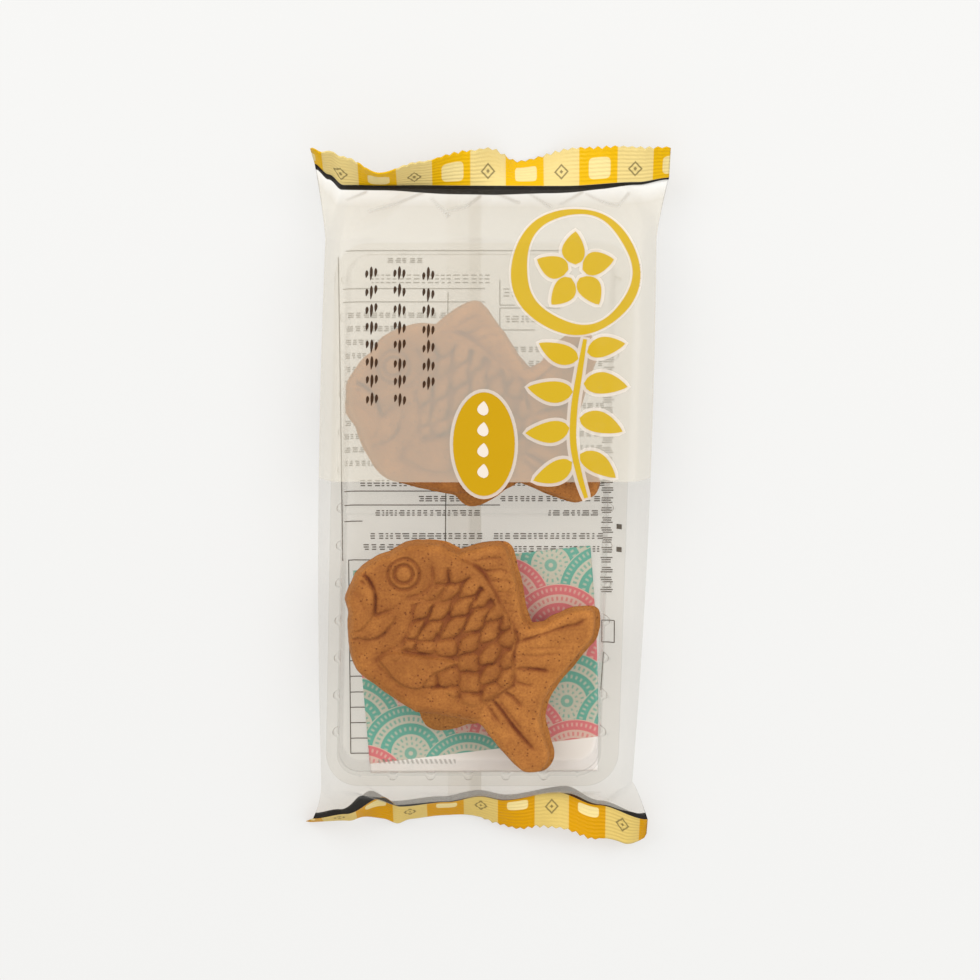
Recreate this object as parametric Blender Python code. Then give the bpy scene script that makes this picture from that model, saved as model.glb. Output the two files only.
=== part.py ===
"""A clear film pack with two cream-filled fish cakes in a tray, lying on its back with its front up.

The pack is one sealed pillow of film, so it is one solid: a flat back that rests on its folded long seam, a
front that swells over the tray and the two cakes and gathers where the film closes at both ends, and two
crimped end fins with zigzag edges. +Y is the pack's top end, +X its right, +Z its printed front.
"""

import math

import bmesh
import bpy
import numpy as np

MM = 0.001

# The bag between its ends: a film tube round the tray, a little wider in the middle, leaning to the right.
BAG_HALF_WIDTH = 49.1 * MM
BAG_BULGE = 2.1 * MM
BULGE_AT_Y = 20 * MM
BULGE_REACH = 100 * MM
LEAN = 2.75 / 105
SIDE_HEIGHT = 10.5 * MM
FRONT_HEIGHT = 19.8 * MM
BACK_HEIGHT = 0.5 * MM
# The front is flat as far out as the tray's rim, the back as far as the tray's floor, as shares of the width.
FRONT_FLAT = 0.885
BACK_FLAT = 0.80
FRONT_ROUNDING = 1.7
BACK_ROUNDING = 1.4

# The tray inside holds the bag open between these two lines, and beyond them the film closes to the seals.
TRAY_TOP_Y = 81.5 * MM
TRAY_BOTTOM_Y = -88 * MM

# Each end's seal: how its inner edge runs from left (-1) to right (+1), and how far the crimped fin is bent
# up (+) or down (-) there. The flare is how late the bag widens towards the seal, at its left and right.
TOP_END = {
    "side": 1,
    "seal_x": (-51.3 * MM, 56.3 * MM),
    "seal_at": (-1.0, -0.92, -0.84, 0.4, 0.82, 1.0),
    "seal_y": (104.4 * MM, 101.2 * MM, 98.0 * MM, 97.7 * MM, 98.9 * MM, 100.2 * MM),
    "seal_z": (10.5 * MM, 10.0 * MM, 9.5 * MM, 9.5 * MM, 9.5 * MM, 9.0 * MM),
    "bend_at": (-1.0, -0.84, -0.63, -0.4, -0.12, 0.15, 0.6, 0.8, 1.0),
    "bend_deg": (63, 40, 70, 50, 20, -52, 6, 20, 35),
    "corner_kick": -0.8 * MM,
    "flare": (1.3, 1.3),
}
BOTTOM_END = {
    "side": -1,
    "seal_x": (-53.7 * MM, 51.4 * MM),
    "seal_at": (-1.0, -0.8, -0.58, -0.48, -0.2, 0.0, 0.14, 0.46, 0.7, 1.0),
    "seal_y": (-99.7 * MM, -98.2 * MM, -92.8 * MM, -95.8 * MM, -94.4 * MM, -92.7 * MM, -94.1 * MM, -91.8 * MM,
               -96.0 * MM, -100.2 * MM),
    "seal_z": (11.2 * MM, 11.2 * MM, 11.2 * MM, 11.2 * MM, 11.0 * MM, 10.6 * MM, 10.0 * MM, 9.2 * MM,
               8.6 * MM, 10.4 * MM),
    "bend_at": (-1.0, -0.75, -0.57, -0.42, -0.18, 0.1, 0.3, 0.47, 0.62, 0.85, 1.0),
    "bend_deg": (-70, -64, -38, -54, -54, -34, -16, 0, 0, -16, -42),
    "corner_kick": -3.1 * MM,
    "flare": (2.2, 0.8),
}
KICK_FROM = 0.84

# The crimped fins.
FIN_LENGTH = 11.6 * MM
FIN_THICKNESS = 0.6 * MM
TEETH = 31
TOOTH_DEPTH = 1.5 * MM

# The long back seam, folded flat against the back.
SEAM_LEFT_X = -13 * MM
SEAM_RIGHT_X = -2.5 * MM
SEAM_THICKNESS = 0.5 * MM

# Gathers in the front film: where each ridge leaves the seal, its slant, its width and its height in mm.
TOP_GATHERS = (
    (-0.80, 0.35, 0.10, 1.0),
    (-0.38, -0.55, 0.13, 1.7),
    (-0.18, 0.30, 0.09, 1.1),
    (0.02, -0.25, 0.12, 1.8),
    (0.20, 0.45, 0.09, 1.2),
    (0.47, -0.40, 0.12, 1.6),
    (0.72, 0.30, 0.11, 1.0),
)
BOTTOM_GATHERS = (
    (-0.58, 0.25, 0.12, 1.6),
    (-0.05, -0.20, 0.12, 1.1),
    (0.42, 0.35, 0.13, 1.4),
    (0.72, -0.30, 0.10, 1.0),
)
GATHER_SLANT = 0.3
GATHER_SPREAD = 0.10

# The two cakes under the front film: middle, half width and half length of each swell, and its height.
SWELLS = (
    (-5 * MM, -44 * MM, 45 * MM, 40 * MM, 1.6 * MM),
    (-1 * MM, 29 * MM, 45 * MM, 40 * MM, 0.8 * MM),
)

# How finely the film is divided.
COLUMNS = 2 * TEETH
TRAY_ROWS = 34
END_ROWS = 5
FIN_ROWS = 3
FLAT_DEG = 0.4


def smooth_step(low, high, value):
    """0 below low, 1 above high, and an even curve between."""
    t = np.clip((value - low) / (high - low), 0, 1)
    return t * t * (3 - 2 * t)


def eased(at, values, u):
    """The values given at some places across the pack, joined by even curves."""
    at, values = np.asarray(at, float), np.asarray(values, float)
    k = np.clip(np.searchsorted(at, u) - 1, 0, len(at) - 2)
    return values[k] + (values[k + 1] - values[k]) * smooth_step(0, 1, (u - at[k]) / (at[k + 1] - at[k]))


def seal_line(end, u):
    """X, Y and Z of an end seal's inner edge."""
    left, right = end["seal_x"]
    x = (left + right) / 2 + (right - left) / 2 * u
    return x, eased(end["seal_at"], end["seal_y"], u), eased(end["seal_at"], end["seal_z"], u)


def cake_swell(x, y):
    """How far the cakes lift the front film at each point."""
    lift = np.zeros(x.shape)
    for middle_x, middle_y, half_x, half_y, height in SWELLS:
        away = ((x - middle_x) / half_x) ** 2 + ((y - middle_y) / half_y) ** 2
        lift = np.maximum(lift, height * np.clip(1 - away * away, 0, 1))
    return lift


def gathers(folds, u, closing):
    """Ridges that fan out from the seal into the front film. closing is 0 at the tray and 1 at the seal."""
    ridges = np.zeros(u.shape)
    away = 1 - closing
    for start, slant, width, height in folds:
        across = np.abs(u - start - slant * GATHER_SLANT * away) / (width * (0.35 + GATHER_SPREAD + away))
        ridges = np.maximum(ridges, height * MM * np.clip(1 - across, 0, None))
    return ridges * np.sin(math.pi * closing) ** 0.7


def tray_loop(u, y):
    """One loop round the bag where the tray fills it: the front from left to right, and the back under it."""
    across = np.sin(u * math.pi / 2)
    half = BAG_HALF_WIDTH + BAG_BULGE * (1 - ((y - BULGE_AT_Y) / BULGE_REACH) ** 2)
    x = LEAN * y + half * across
    front_fall = np.clip((np.abs(across) - FRONT_FLAT) / (1 - FRONT_FLAT), 0, 1) ** FRONT_ROUNDING
    back_rise = np.clip((np.abs(across) - BACK_FLAT) / (1 - BACK_FLAT), 0, 1) ** BACK_ROUNDING
    front = FRONT_HEIGHT - (FRONT_HEIGHT - SIDE_HEIGHT) * front_fall + cake_swell(x, y) * (1 - front_fall)
    back = BACK_HEIGHT + (SIDE_HEIGHT - BACK_HEIGHT) * back_rise
    back = back - SEAM_THICKNESS * ((x > SEAM_LEFT_X) & (x < SEAM_RIGHT_X))
    return np.stack([x, y, front], axis=1), np.stack([x, y, back], axis=1)


def closing_loop(u, end, tray_y, folds, closing):
    """One loop between the tray and a seal, where front and back come together. closing is 1 at the seal."""
    front, back = tray_loop(u, np.full(u.shape, tray_y))
    seal_x, seal_y, seal_z = seal_line(end, u)
    left, right = end["flare"]
    widen = closing ** (left + (right - left) * (u + 1) / 2)
    shut = closing**1.25
    x = front[:, 0] + (seal_x - front[:, 0]) * widen
    y = tray_y + (seal_y - tray_y) * closing
    half = FIN_THICKNESS / 2 * (np.abs(u) < 1)
    ridge = gathers(folds, u, closing) * (np.abs(u) < 1)
    front_z = front[:, 2] + (seal_z + half - front[:, 2]) * shut + ridge
    back_z = back[:, 2] + (seal_z - half - back[:, 2]) * shut
    return np.stack([x, y, front_z], axis=1), np.stack([x, y, back_z], axis=1)


def fin_loop(u, end, along):
    """One loop round a crimped fin, at a distance along it from the seal."""
    x, y, z = seal_line(end, u)
    bend = np.radians(eased(end["bend_at"], end["bend_deg"], u))
    x = x + end["corner_kick"] * along / FIN_LENGTH * smooth_step(KICK_FROM, 1.0, -u)
    y = y + end["side"] * along * np.cos(bend)
    z = z + along * np.sin(bend)
    half = FIN_THICKNESS / 2 * (np.abs(u) < 1)
    lean_y = -end["side"] * np.sin(bend) * half
    lean_z = np.cos(bend) * half
    return np.stack([x, y + lean_y, z + lean_z], axis=1), np.stack([x, y - lean_y, z - lean_z], axis=1)


def film_loops():
    """All loops of the pack, from the bottom fin's teeth to the top fin's teeth."""
    u = np.linspace(-1, 1, COLUMNS + 1)
    toothed = FIN_LENGTH - TOOTH_DEPTH * (np.arange(COLUMNS + 1) % 2 == 0)
    fin_steps = [toothed] + [FIN_LENGTH * k / FIN_ROWS for k in range(FIN_ROWS - 1, 0, -1)]
    end_steps = [k / END_ROWS for k in range(END_ROWS, 0, -1)]
    tray_steps = np.linspace(TRAY_BOTTOM_Y, TRAY_TOP_Y, TRAY_ROWS + 1)

    loops = [fin_loop(u, BOTTOM_END, along) for along in fin_steps]
    loops += [closing_loop(u, BOTTOM_END, TRAY_BOTTOM_Y, BOTTOM_GATHERS, step) for step in end_steps]
    loops += [tray_loop(u, np.full(u.shape, y)) for y in tray_steps]
    loops += [closing_loop(u, TOP_END, TRAY_TOP_Y, TOP_GATHERS, step) for step in reversed(end_steps)]
    loops += [fin_loop(u, TOP_END, along) for along in reversed(fin_steps)]
    return loops


def film_material(name, colour, roughness, alpha):
    """A film finish for the pack."""
    material = bpy.data.materials.new(name)
    material.use_nodes = True
    shader = material.node_tree.nodes["Principled BSDF"]
    shader.inputs["Base Color"].default_value = (*colour, 1)
    shader.inputs["Roughness"].default_value = roughness
    shader.inputs["Metallic"].default_value = 0.0
    shader.inputs["Alpha"].default_value = alpha
    return material


def make_pack():
    """Joins the loops into one closed film pillow."""
    mesh = bmesh.new()
    rings = []
    for front, back in film_loops():
        over = [mesh.verts.new(point) for point in front]
        under = [mesh.verts.new(point) for point in back[1:-1]]
        rings.append((over, [over[0], *under, over[-1]]))

    for row, ((over_a, under_a), (over_b, under_b)) in enumerate(zip(rings, rings[1:])):
        on_fin = row < FIN_ROWS or row >= len(rings) - 1 - FIN_ROWS
        for k in range(COLUMNS):
            for corners in (
                (over_a[k], over_a[k + 1], over_b[k + 1], over_b[k]),
                (under_a[k + 1], under_a[k], under_b[k], under_b[k + 1]),
            ):
                face = mesh.faces.new(corners)
                face.material_index = int(on_fin)
                face.smooth = True
    for over, under in (rings[0], rings[-1]):
        for k in range(COLUMNS):
            corners = dict.fromkeys((over[k], under[k], under[k + 1], over[k + 1]))
            mesh.faces.new(list(corners)).material_index = 1
    bmesh.ops.recalc_face_normals(mesh, faces=mesh.faces)
    bmesh.ops.dissolve_limit(
        mesh, angle_limit=math.radians(FLAT_DEG), verts=mesh.verts, edges=mesh.edges, delimit={"MATERIAL"}
    )
    bmesh.ops.triangulate(mesh, faces=mesh.faces)

    data = bpy.data.meshes.new("pack")
    mesh.to_mesh(data)
    mesh.free()
    pack = bpy.data.objects.new("pack", data)
    data.materials.append(film_material("clear_film", (0.93, 0.92, 0.88), 0.18, 0.55))
    data.materials.append(film_material("crimped_yellow_film", (0.86, 0.55, 0.10), 0.30, 0.9))
    data.set_sharp_from_angle(angle=math.radians(40))
    bpy.context.scene.collection.objects.link(pack)


for old in list(bpy.data.objects):
    bpy.data.objects.remove(old)
make_pack()
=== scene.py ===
"""A clear film pack with two fish-shaped cream cakes, dressed over its frame. All is worked out in mm."""

import math

import bpy
import numpy as np
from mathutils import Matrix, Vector, noise
from mathutils.bvhtree import BVHTree
from mathutils.geometry import delaunay_2d_cdt


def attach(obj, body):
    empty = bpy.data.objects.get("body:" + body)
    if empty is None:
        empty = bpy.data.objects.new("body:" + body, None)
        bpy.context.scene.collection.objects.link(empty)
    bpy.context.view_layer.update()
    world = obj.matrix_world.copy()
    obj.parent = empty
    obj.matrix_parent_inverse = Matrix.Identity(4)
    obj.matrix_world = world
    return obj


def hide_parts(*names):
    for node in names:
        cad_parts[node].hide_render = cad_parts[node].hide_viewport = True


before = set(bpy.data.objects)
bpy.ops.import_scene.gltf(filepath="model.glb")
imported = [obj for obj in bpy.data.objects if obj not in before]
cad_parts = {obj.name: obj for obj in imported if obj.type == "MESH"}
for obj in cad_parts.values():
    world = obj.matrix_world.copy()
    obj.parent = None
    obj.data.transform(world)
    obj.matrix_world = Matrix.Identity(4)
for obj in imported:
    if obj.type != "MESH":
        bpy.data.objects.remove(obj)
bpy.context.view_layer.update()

# The tray
# A thin clear tray that keeps the two cakes apart. It is formed from one warmed sheet over a mould, and has a
# flat rim, walls with small half-round lugs that stiffen them, and a low rib across its floor.

MM = 0.001
# How far the whole pack leans to the right for each step up.
LEAN = 2.75 / 105
TRAY_MIDDLE_X = -1.6
TRAY_HALF_WIDTH = 45.4
TRAY_TOP_Y = 80.9
TRAY_BOTTOM_Y = -87.4
TRAY_CORNER = 10.5
TRAY_LEAST_CORNER = 3
TRAY_STEPS = 900
LUG_PITCH = 11.7
LUG_RADIUS = 1.5
# Each turn of the tray's section, from the rim's lip to the floor: how far in it is, its height, how far its
# lugs stand, and how strongly a sharp fold there is painted as a thin grey line of painted shade.
TRAY_SECTION = (
    (0.0, 17.9, 0.0, 0.2), (0.05, 18.3, 0.0, 0.2), (0.25, 18.55, 0.0, 0.0), (0.6, 18.6, 0.0, 0.0),
    (1.4, 18.6, 0.0, 0.0), (2.7, 18.6, 0.35, 0.0), (3.25, 18.5, 0.9, 0.0), (3.5, 18.2, 1.0, 0.5),
    (3.6, 17.6, 1.0, 0.0), (3.7, 16.6, 1.0, 0.0), (3.8, 15.8, 0.7, 0.0), (3.85, 15.3, 0.0, 1.0),
    (3.95, 13.0, 0.0, 0.0), (4.1, 8.0, 0.0, 0.0), (4.2, 4.0, 0.0, 0.0), (4.3, 2.6, 0.0, 0.0),
    (4.6, 1.7, 0.0, 0.0), (5.2, 1.25, 0.0, 0.0),
)
# The rim is this much wider on the right, which it gains between these two insets.
TRAY_WIDE_RIM = 2.2
TRAY_WIDENS_AT = (1.4, 2.7)
TRAY_FLOOR = 1.2
TRAY_FLOOR_SPACING = 1.1
RIB_Y = -3.1
RIB_HALF_WIDTH = 2.6
RIB_HEIGHT = 3.6
# The grey that the tray shows edge-on. Its sharp folds are painted in it too, as painted shade.
TRAY_EDGE_GREY = (0.38, 0.37, 0.35, 1)
TRAY_TINT = (0.93, 0.915, 0.888, 1)
TRAY_EDGE_SHARE = 0.48
TRAY_EDGE_POWER = 3.2
TRAY_FOLD_SHADE_SHARE = 0.5


def evened(path, spacing=1.0, count=None):
    """A closed path in even steps of about the spacing, or in count steps."""
    path = np.concatenate([path, path[:1]])
    run = np.concatenate([[0], np.cumsum(np.linalg.norm(np.diff(path, axis=0), axis=1))])
    steps = np.linspace(0, run[-1], count or max(8, round(run[-1] / spacing)), endpoint=False)
    return np.stack([np.interp(steps, run, side) for side in path.T], axis=1)


def from_edge(a, b, x, y):
    """Each point's squared distance from the edge from a to b, and where along it the nearest place is."""
    edge = b - a
    along = np.clip(((x - a[0]) * edge[0] + (y - a[1]) * edge[1]) / max(edge @ edge, 1e-12), 0, 1)
    return (x - a[0] - along * edge[0]) ** 2 + (y - a[1] - along * edge[1]) ** 2, along


def depth_inside(outline, x, y):
    """How far each point lies inside a closed outline, negative outside it."""
    nearest = np.full(x.shape, np.inf)
    inside = np.zeros(x.shape, bool)
    for a, b in zip(outline, np.roll(outline, -1, axis=0)):
        nearest = np.minimum(nearest, from_edge(a, b, x, y)[0])
        if a[1] != b[1]:
            inside ^= ((a[1] > y) != (b[1] > y)) & (x < (b[0] - a[0]) * (y - a[1]) / (b[1] - a[1]) + a[0])
    return np.where(inside, 1, -1) * np.sqrt(nearest)


def joined_up(points, loops, scale):
    """Points joined to upward triangles that keep to the edges of the closed loops, which come first."""
    edges = []
    start = 0
    for loop in loops:
        edges += [(start + k, start + (k + 1) % len(loop)) for k in range(len(loop))]
        start += len(loop)
    keeps_to_inside = 1 if len(loops) == 1 else 0
    found = delaunay_2d_cdt([Vector(p * scale) for p in points], edges, [], keeps_to_inside, 1e-5)
    points = np.array([tuple(v) for v in found[0]]) / scale
    triangles = np.array([f for f in found[2] if len(f) == 3])
    a, b, c = (points[triangles[:, k]] for k in range(3))
    turn = (b[:, 0] - a[:, 0]) * (c[:, 1] - a[:, 1]) - (b[:, 1] - a[:, 1]) * (c[:, 0] - a[:, 0])
    return points, np.where((turn > 0)[:, None], triangles, triangles[:, ::-1])


def fill(outline, spacing, holes=()):
    """Points and upward triangles that fill a closed outline: its own points first, then a lattice."""

    def within(x, y, margin):
        keep = depth_inside(outline, x, y) > margin
        for hole in holes:
            keep &= depth_inside(hole, x, y) < -margin
        return keep

    low, high = outline.min(axis=0), outline.max(axis=0)
    across = np.arange(low[0], high[0], spacing)
    x, y = np.meshgrid(across, np.arange(low[1], high[1], spacing * math.sqrt(0.75)))
    x += spacing / 2 * (np.arange(len(x)) % 2)[:, None]
    lattice = np.stack([x.ravel(), y.ravel()], axis=1)
    loops = [outline, *holes]
    lattice = lattice[within(*lattice.T, spacing * 0.55)]
    points, triangles = joined_up(np.concatenate([*loops, lattice]), loops, 1 / spacing)
    if holes:
        triangles = triangles[within(*points[triangles].mean(axis=1).T, 0)]
    return points, triangles


def quads(low, high, closed=False):
    """Quads between two rows of point numbers."""
    low, high = list(low), list(high)
    if closed:
        low, high = low + low[:1], high + high[:1]
    return [(a, b, d, c) for a, b, c, d in zip(low, low[1:], high, high[1:])]


def make_piece(name, points, faces, material, values=None, smooth=True):
    """One mesh piece on the root body, from points in mm. values are named numbers for each point."""
    mesh = bpy.data.meshes.new(name)
    mesh.from_pydata([tuple(p) for p in points * MM], [], [tuple(int(k) for k in f) for f in faces])
    for key, numbers in (values or {}).items():
        layer = mesh.attributes.new(key, "FLOAT", "POINT")
        layer.data.foreach_set("value", np.asarray(numbers, np.float32))
    mesh.materials.append(material)
    mesh.polygons.foreach_set("use_smooth", [smooth] * len(mesh.polygons))
    mesh.update()
    piece = bpy.data.objects.new(name, mesh)
    bpy.context.scene.collection.objects.link(piece)
    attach(piece, "root")
    return piece


class Reading:
    """A number or colour that changes over a surface: a node's output, reckoned with as a plain number is."""

    def __init__(self, tree, socket):
        self.tree = tree
        self.socket = socket

    def other(self, output):
        return Reading(self.tree, self.socket.node.outputs[output])

    def by(self, operation, *terms, clamp=False):
        inputs = dict(enumerate((self, *terms)))
        return put(self.tree, "Math", inputs, operation=operation, use_clamp=clamp)

    def __add__(self, term):
        return self.by("ADD", term)

    def __sub__(self, term):
        return self.by("SUBTRACT", term)

    def __rsub__(self, term):
        return put(self.tree, "Math", {0: term, 1: self}, operation="SUBTRACT")

    def __mul__(self, term):
        return self.by("MULTIPLY", term)

    def __truediv__(self, term):
        return self.by("DIVIDE", term)

    def __or__(self, term):
        return self.by("MAXIMUM", term)


def put(tree, kind, inputs=None, output=0, **settings):
    """A new node with its settings, its inputs set or linked, and what is read at one of its outputs."""
    node = tree.nodes.new("ShaderNode" + kind)
    for key, value in settings.items():
        setattr(node, key, value)
    for key, value in (inputs or {}).items():
        if isinstance(value, Reading):
            tree.links.new(value.socket, node.inputs[key])
        else:
            node.inputs[key].default_value = value
    return Reading(tree, node.outputs[output])


def painted(tree, name):
    """The values that a mesh carries under a name."""
    return put(tree, "Attribute", output="Fac", attribute_name=name)


def new_material(name):
    """An empty material and its node tree."""
    material = bpy.data.materials.new(name)
    material.use_nodes = True
    material.node_tree.nodes.clear()
    return material, material.node_tree


def finish_with(shader):
    """The shader becomes its material's surface."""
    shader.tree.links.new(shader.socket, shader.tree.nodes.new("ShaderNodeOutputMaterial").inputs["Surface"])


def effect(name, inputs, worked_out):
    """A node group for an effect that several materials use, from its inputs and a function of them."""
    group = bpy.data.node_groups.new(name, "ShaderNodeTree")
    for socket in inputs:
        group.interface.new_socket(socket, in_out="INPUT", socket_type="NodeSocketFloat")
    given = group.nodes.new("NodeGroupInput").outputs
    outputs = worked_out(*(Reading(group, given[socket]) for socket in inputs))
    result = group.nodes.new("NodeGroupOutput").inputs
    for socket, reading in outputs.items():
        kind = "NodeSocketVector" if socket == "Normal" else "NodeSocketFloat"
        group.interface.new_socket(socket, in_out="OUTPUT", socket_type=kind)
        group.links.new(reading.socket, result[socket])
    return group


def place(tree, group, **inputs):
    """An effect placed in a material with its own values."""
    return put(tree, "Group", inputs, node_tree=group)


def rippled(scale, detail, strength, distance):
    """The soft ripple of a thin sheet, or the fibre of paper."""
    height = put(scale.tree, "TexNoise", {"Scale": scale, "Detail": detail}, "Fac")
    normal = put(scale.tree, "Bump", {"Strength": strength, "Distance": distance, "Height": height})
    return {"Height": height, "Normal": normal}


def greyed(facing, seen, power, share):
    """How much of its own grey a thin clear sheet shows as it turns edge-on."""
    return {"Mask": facing.by("POWER", power) * share * seen}


sheet_ripple = effect("sheet_ripple", ("Scale", "Detail", "Strength", "Distance"), rippled)
sheet_edge = effect("sheet_edge", ("Facing", "Seen", "Power", "Share"), greyed)


def edge_on(tree, normal, share, power):
    """The edge mask of a thin clear sheet, shown to the eye alone: light goes through the sheet whole."""
    facing = put(tree, "LayerWeight", {"Blend": 0.5, "Normal": normal}, "Facing")
    seen = put(tree, "LightPath", output="Is Camera Ray")
    return place(tree, sheet_edge, Facing=facing, Seen=seen, Power=power, Share=share)


def tray_outline(inset, lugs):
    """The tray's outline, moved in by inset, with outward lugs along its straight walls."""
    wider = TRAY_WIDE_RIM * np.interp(inset, TRAY_WIDENS_AT, (0, 1))
    size = np.array([TRAY_HALF_WIDTH - wider / 2, (TRAY_TOP_Y - TRAY_BOTTOM_Y) / 2]) - inset
    middle = np.array([0.0, (TRAY_TOP_Y + TRAY_BOTTOM_Y) / 2])
    corner = max(TRAY_CORNER - inset, TRAY_LEAST_CORNER)
    path = []
    for k, way in enumerate(((1, -1), (1, 1), (-1, 1), (-1, -1))):
        turns = np.linspace(-math.pi / 2, 0, 10) + k * math.pi / 2
        arc = corner * np.stack([np.cos(turns), np.sin(turns)], axis=1)
        path.append(middle + way * (size - corner) + arc)
    ring = evened(np.concatenate(path), count=TRAY_STEPS)
    for way in (0, 1):
        across = ring[:, way] - middle[way]
        on_wall = np.abs(np.abs(across) - size[way]) < 1e-3
        from_lug = (ring[:, 1 - way] + LUG_PITCH / 2) % LUG_PITCH - LUG_PITCH / 2
        bulge = np.sqrt(np.clip(LUG_RADIUS**2 - from_lug**2, 0, None))
        ring[:, way] += np.sign(across) * bulge * lugs * on_wall
    return ring + (TRAY_MIDDLE_X - wider / 2, 0)


def tray_floor_height(y):
    """The floor's height, with the low rib across it."""
    near = np.clip(np.abs(y - RIB_Y) / RIB_HALF_WIDTH, 0, 1)
    return TRAY_FLOOR + RIB_HEIGHT * (0.5 + 0.5 * np.cos(math.pi * near)) ** 1.2


tray_rings = []
tray_faces = []
tray_fold_shades = []
for k, (inset, height, lugs, fold_shade) in enumerate(TRAY_SECTION):
    ring = tray_outline(inset, lugs)
    tray_rings.append(np.column_stack([ring, np.maximum(height, tray_floor_height(ring[:, 1]))]))
    tray_fold_shades += [fold_shade] * TRAY_STEPS
    if k:
        numbers = np.arange(TRAY_STEPS) + k * TRAY_STEPS
        tray_faces += quads(numbers - TRAY_STEPS, numbers, closed=True)
flat, triangles = fill(ring, TRAY_FLOOR_SPACING)
tray_points = np.concatenate([*tray_rings[:-1], np.column_stack([flat, tray_floor_height(flat[:, 1])])])
tray_points[:, 0] += tray_points[:, 1] * LEAN
tray_faces += list(triangles + numbers[0])
tray_fold_shades += [0.0] * (len(tray_points) - len(tray_fold_shades))

clear_tray, tree = new_material("clear_tray")
bump = place(tree, sheet_ripple, Scale=90.0, Detail=2.0, Strength=0.2, Distance=0.6 * MM).other("Normal")
# The sharp folds get thin lines of painted shade, in the same grey as the edges.
edge = edge_on(tree, bump, TRAY_EDGE_SHARE, TRAY_EDGE_POWER) | painted(tree, "fold_shade") * TRAY_FOLD_SHADE_SHARE
plastic = put(tree, "BsdfPrincipled", {"Base Color": TRAY_EDGE_GREY, "Roughness": 0.15, "Normal": bump})
clear = put(tree, "BsdfTransparent", {"Color": TRAY_TINT})
finish_with(put(tree, "MixShader", {0: edge, 1: clear, 2: plastic}))
tray = make_piece("tray", tray_points, tray_faces, clear_tray, {"fold_shade": tray_fold_shades})

# The sachet
# A flat paper sachet of oxygen absorber that lies on the back film, under the tray and the lower cake. It is
# printed in green and pink with the traditional wave pattern of overlapping arcs, and its foot is left white.

# The corners, top left, top right, bottom left and bottom right, and where the print ends at its foot.
SACHET_CORNERS = ((-41.1, -22.6), (33.3, -14.6), (-36.0, -87.6), (36.0, -87.0))
SACHET_PRINT_ENDS = ((-35.5, -84.6), (36.4, -75.7))
SACHET_BOW = 1.0
SACHET_FOOT = 0.63
SACHET_THICKNESS = 0.52
SACHET_EDGE = 0.15
SACHET_DENTS = 0.02
SACHET_COLUMNS = 96
SACHET_ROWS = 92
WAVE_START = (20.9, -20.8)
WAVE_RADIUS = 15.8
WAVE_PITCH = 34.0
WAVE_ROW = 10.95
WAVE_TURN = math.radians(6.85)
# Each wave's solid bands, from and to in shares of its radius, and the pale marks in each: from, to, pitch.
WAVE_BANDS = ((0.785, 0.985, 0.86, 0.93, 0.105), (0.39, 0.62, 0.47, 0.54, 0.2))
# Each wave's rings of small marks: from, to, their pitch, how much of it they take, and how strong they are.
WAVE_MARKS = ((0.66, 0.75, 0.135, 0.5, 0.8), (0.27, 0.35, 0.33, 0.4, 0.8), (0.17, 0.235, 0.5, 0.45, 0.7))
WAVE_EYE = (0.04, 0.13)
WAVE_TINT = 0.26
# The row of small dashes on the white foot, where words would stand: from x to x and from y to y.
FOOT_ROW_REACH = (-33.5, -9.0)
FOOT_ROW_HEIGHT = (-84.6, -83.1)


def linear(red, green, blue):
    """A colour as a screen shows it, turned into the strength of its light."""
    shares = (red / 255, green / 255, blue / 255)
    return (*(c / 12.92 if c <= 0.04045 else ((c + 0.055) / 1.055) ** 2.4 for c in shares), 1)


WAVE_GREEN = linear(72, 171, 157)
WAVE_PINK = linear(218, 103, 116)
WAVE_PALE = linear(221, 207, 194)
FOOT_ROW_GREY = linear(120, 112, 104)
PAPER_WHITE = linear(242, 240, 241)


def risen(value, bound, softness):
    """A mask that rises from 0 to 1 as a value passes a bound."""
    return {"Mask": ((value - bound) / softness).by("ADD", 0.5, clamp=True)}


rise_mask = effect("rise_mask", ("Value", "Bound", "Softness"), risen)


def above(bound, value, softness):
    """The rise mask, placed in the value's tree."""
    return place(value.tree, rise_mask, Value=value, Bound=bound, Softness=softness)


def banded(value, low, high, softness):
    """A mask that is 1 where a value lies between two bounds."""
    return {"Mask": above(low, value, softness) * (1 - above(high, value, softness))}


band_mask = effect("band_mask", ("Value", "Low", "High", "Softness"), banded)


def between(low, high, value, softness):
    """The band mask, placed in the value's tree."""
    return place(value.tree, band_mask, Value=value, Low=low, High=high, Softness=softness)


def marks(along, pitch, share):
    """Short marks at an even pitch along a line, each covering a share of it."""
    return between(0.5 - share / 2, 0.5 + share / 2, (along / pitch).by("FRACT"), 0.12)


def blend(factor, first, second):
    """A colour between two colours. A colour mix has its factor and colours at inputs 0, 6 and 7."""
    return put(factor.tree, "Mix", {0: factor, 6: first, 7: second}, 2, data_type="RGBA")


def place_in_mm(tree):
    """The place on the object in mm: x, y and z."""
    spot = put(tree, "TexCoord", output="Object")
    spot = put(tree, "VectorMath", {0: spot, 1: (1 / MM,) * 3}, operation="MULTIPLY")
    apart = put(tree, "SeparateXYZ", {0: spot})
    return [apart.other(way) for way in "XYZ"]


def slab(over, under):
    """Points and faces of a thin closed slab between two grids of points: rows go up and columns right."""
    rows, columns = over.shape[:2]
    numbers = np.arange(rows * columns).reshape(rows, columns)
    faces = []
    for low, high in zip(numbers, numbers[1:]):
        faces += quads(low, high) + quads(high + numbers.size, low + numbers.size)
    rim = np.concatenate([numbers[-1, :-1], numbers[:0:-1, -1], numbers[0, :0:-1], numbers[:-1, 0]])
    faces += quads(rim, rim + numbers.size, closed=True)
    return np.concatenate([over.reshape(-1, 3), under.reshape(-1, 3)]), faces


sachet_paper, tree = new_material("sachet_paper")
x, y, z = place_in_mm(tree)
dx, dy = x - WAVE_START[0], y - WAVE_START[1]
along = dx * math.cos(WAVE_TURN) + dy * math.sin(WAVE_TURN)
down = dx * math.sin(WAVE_TURN) - dy * math.cos(WAVE_TURN)
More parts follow.
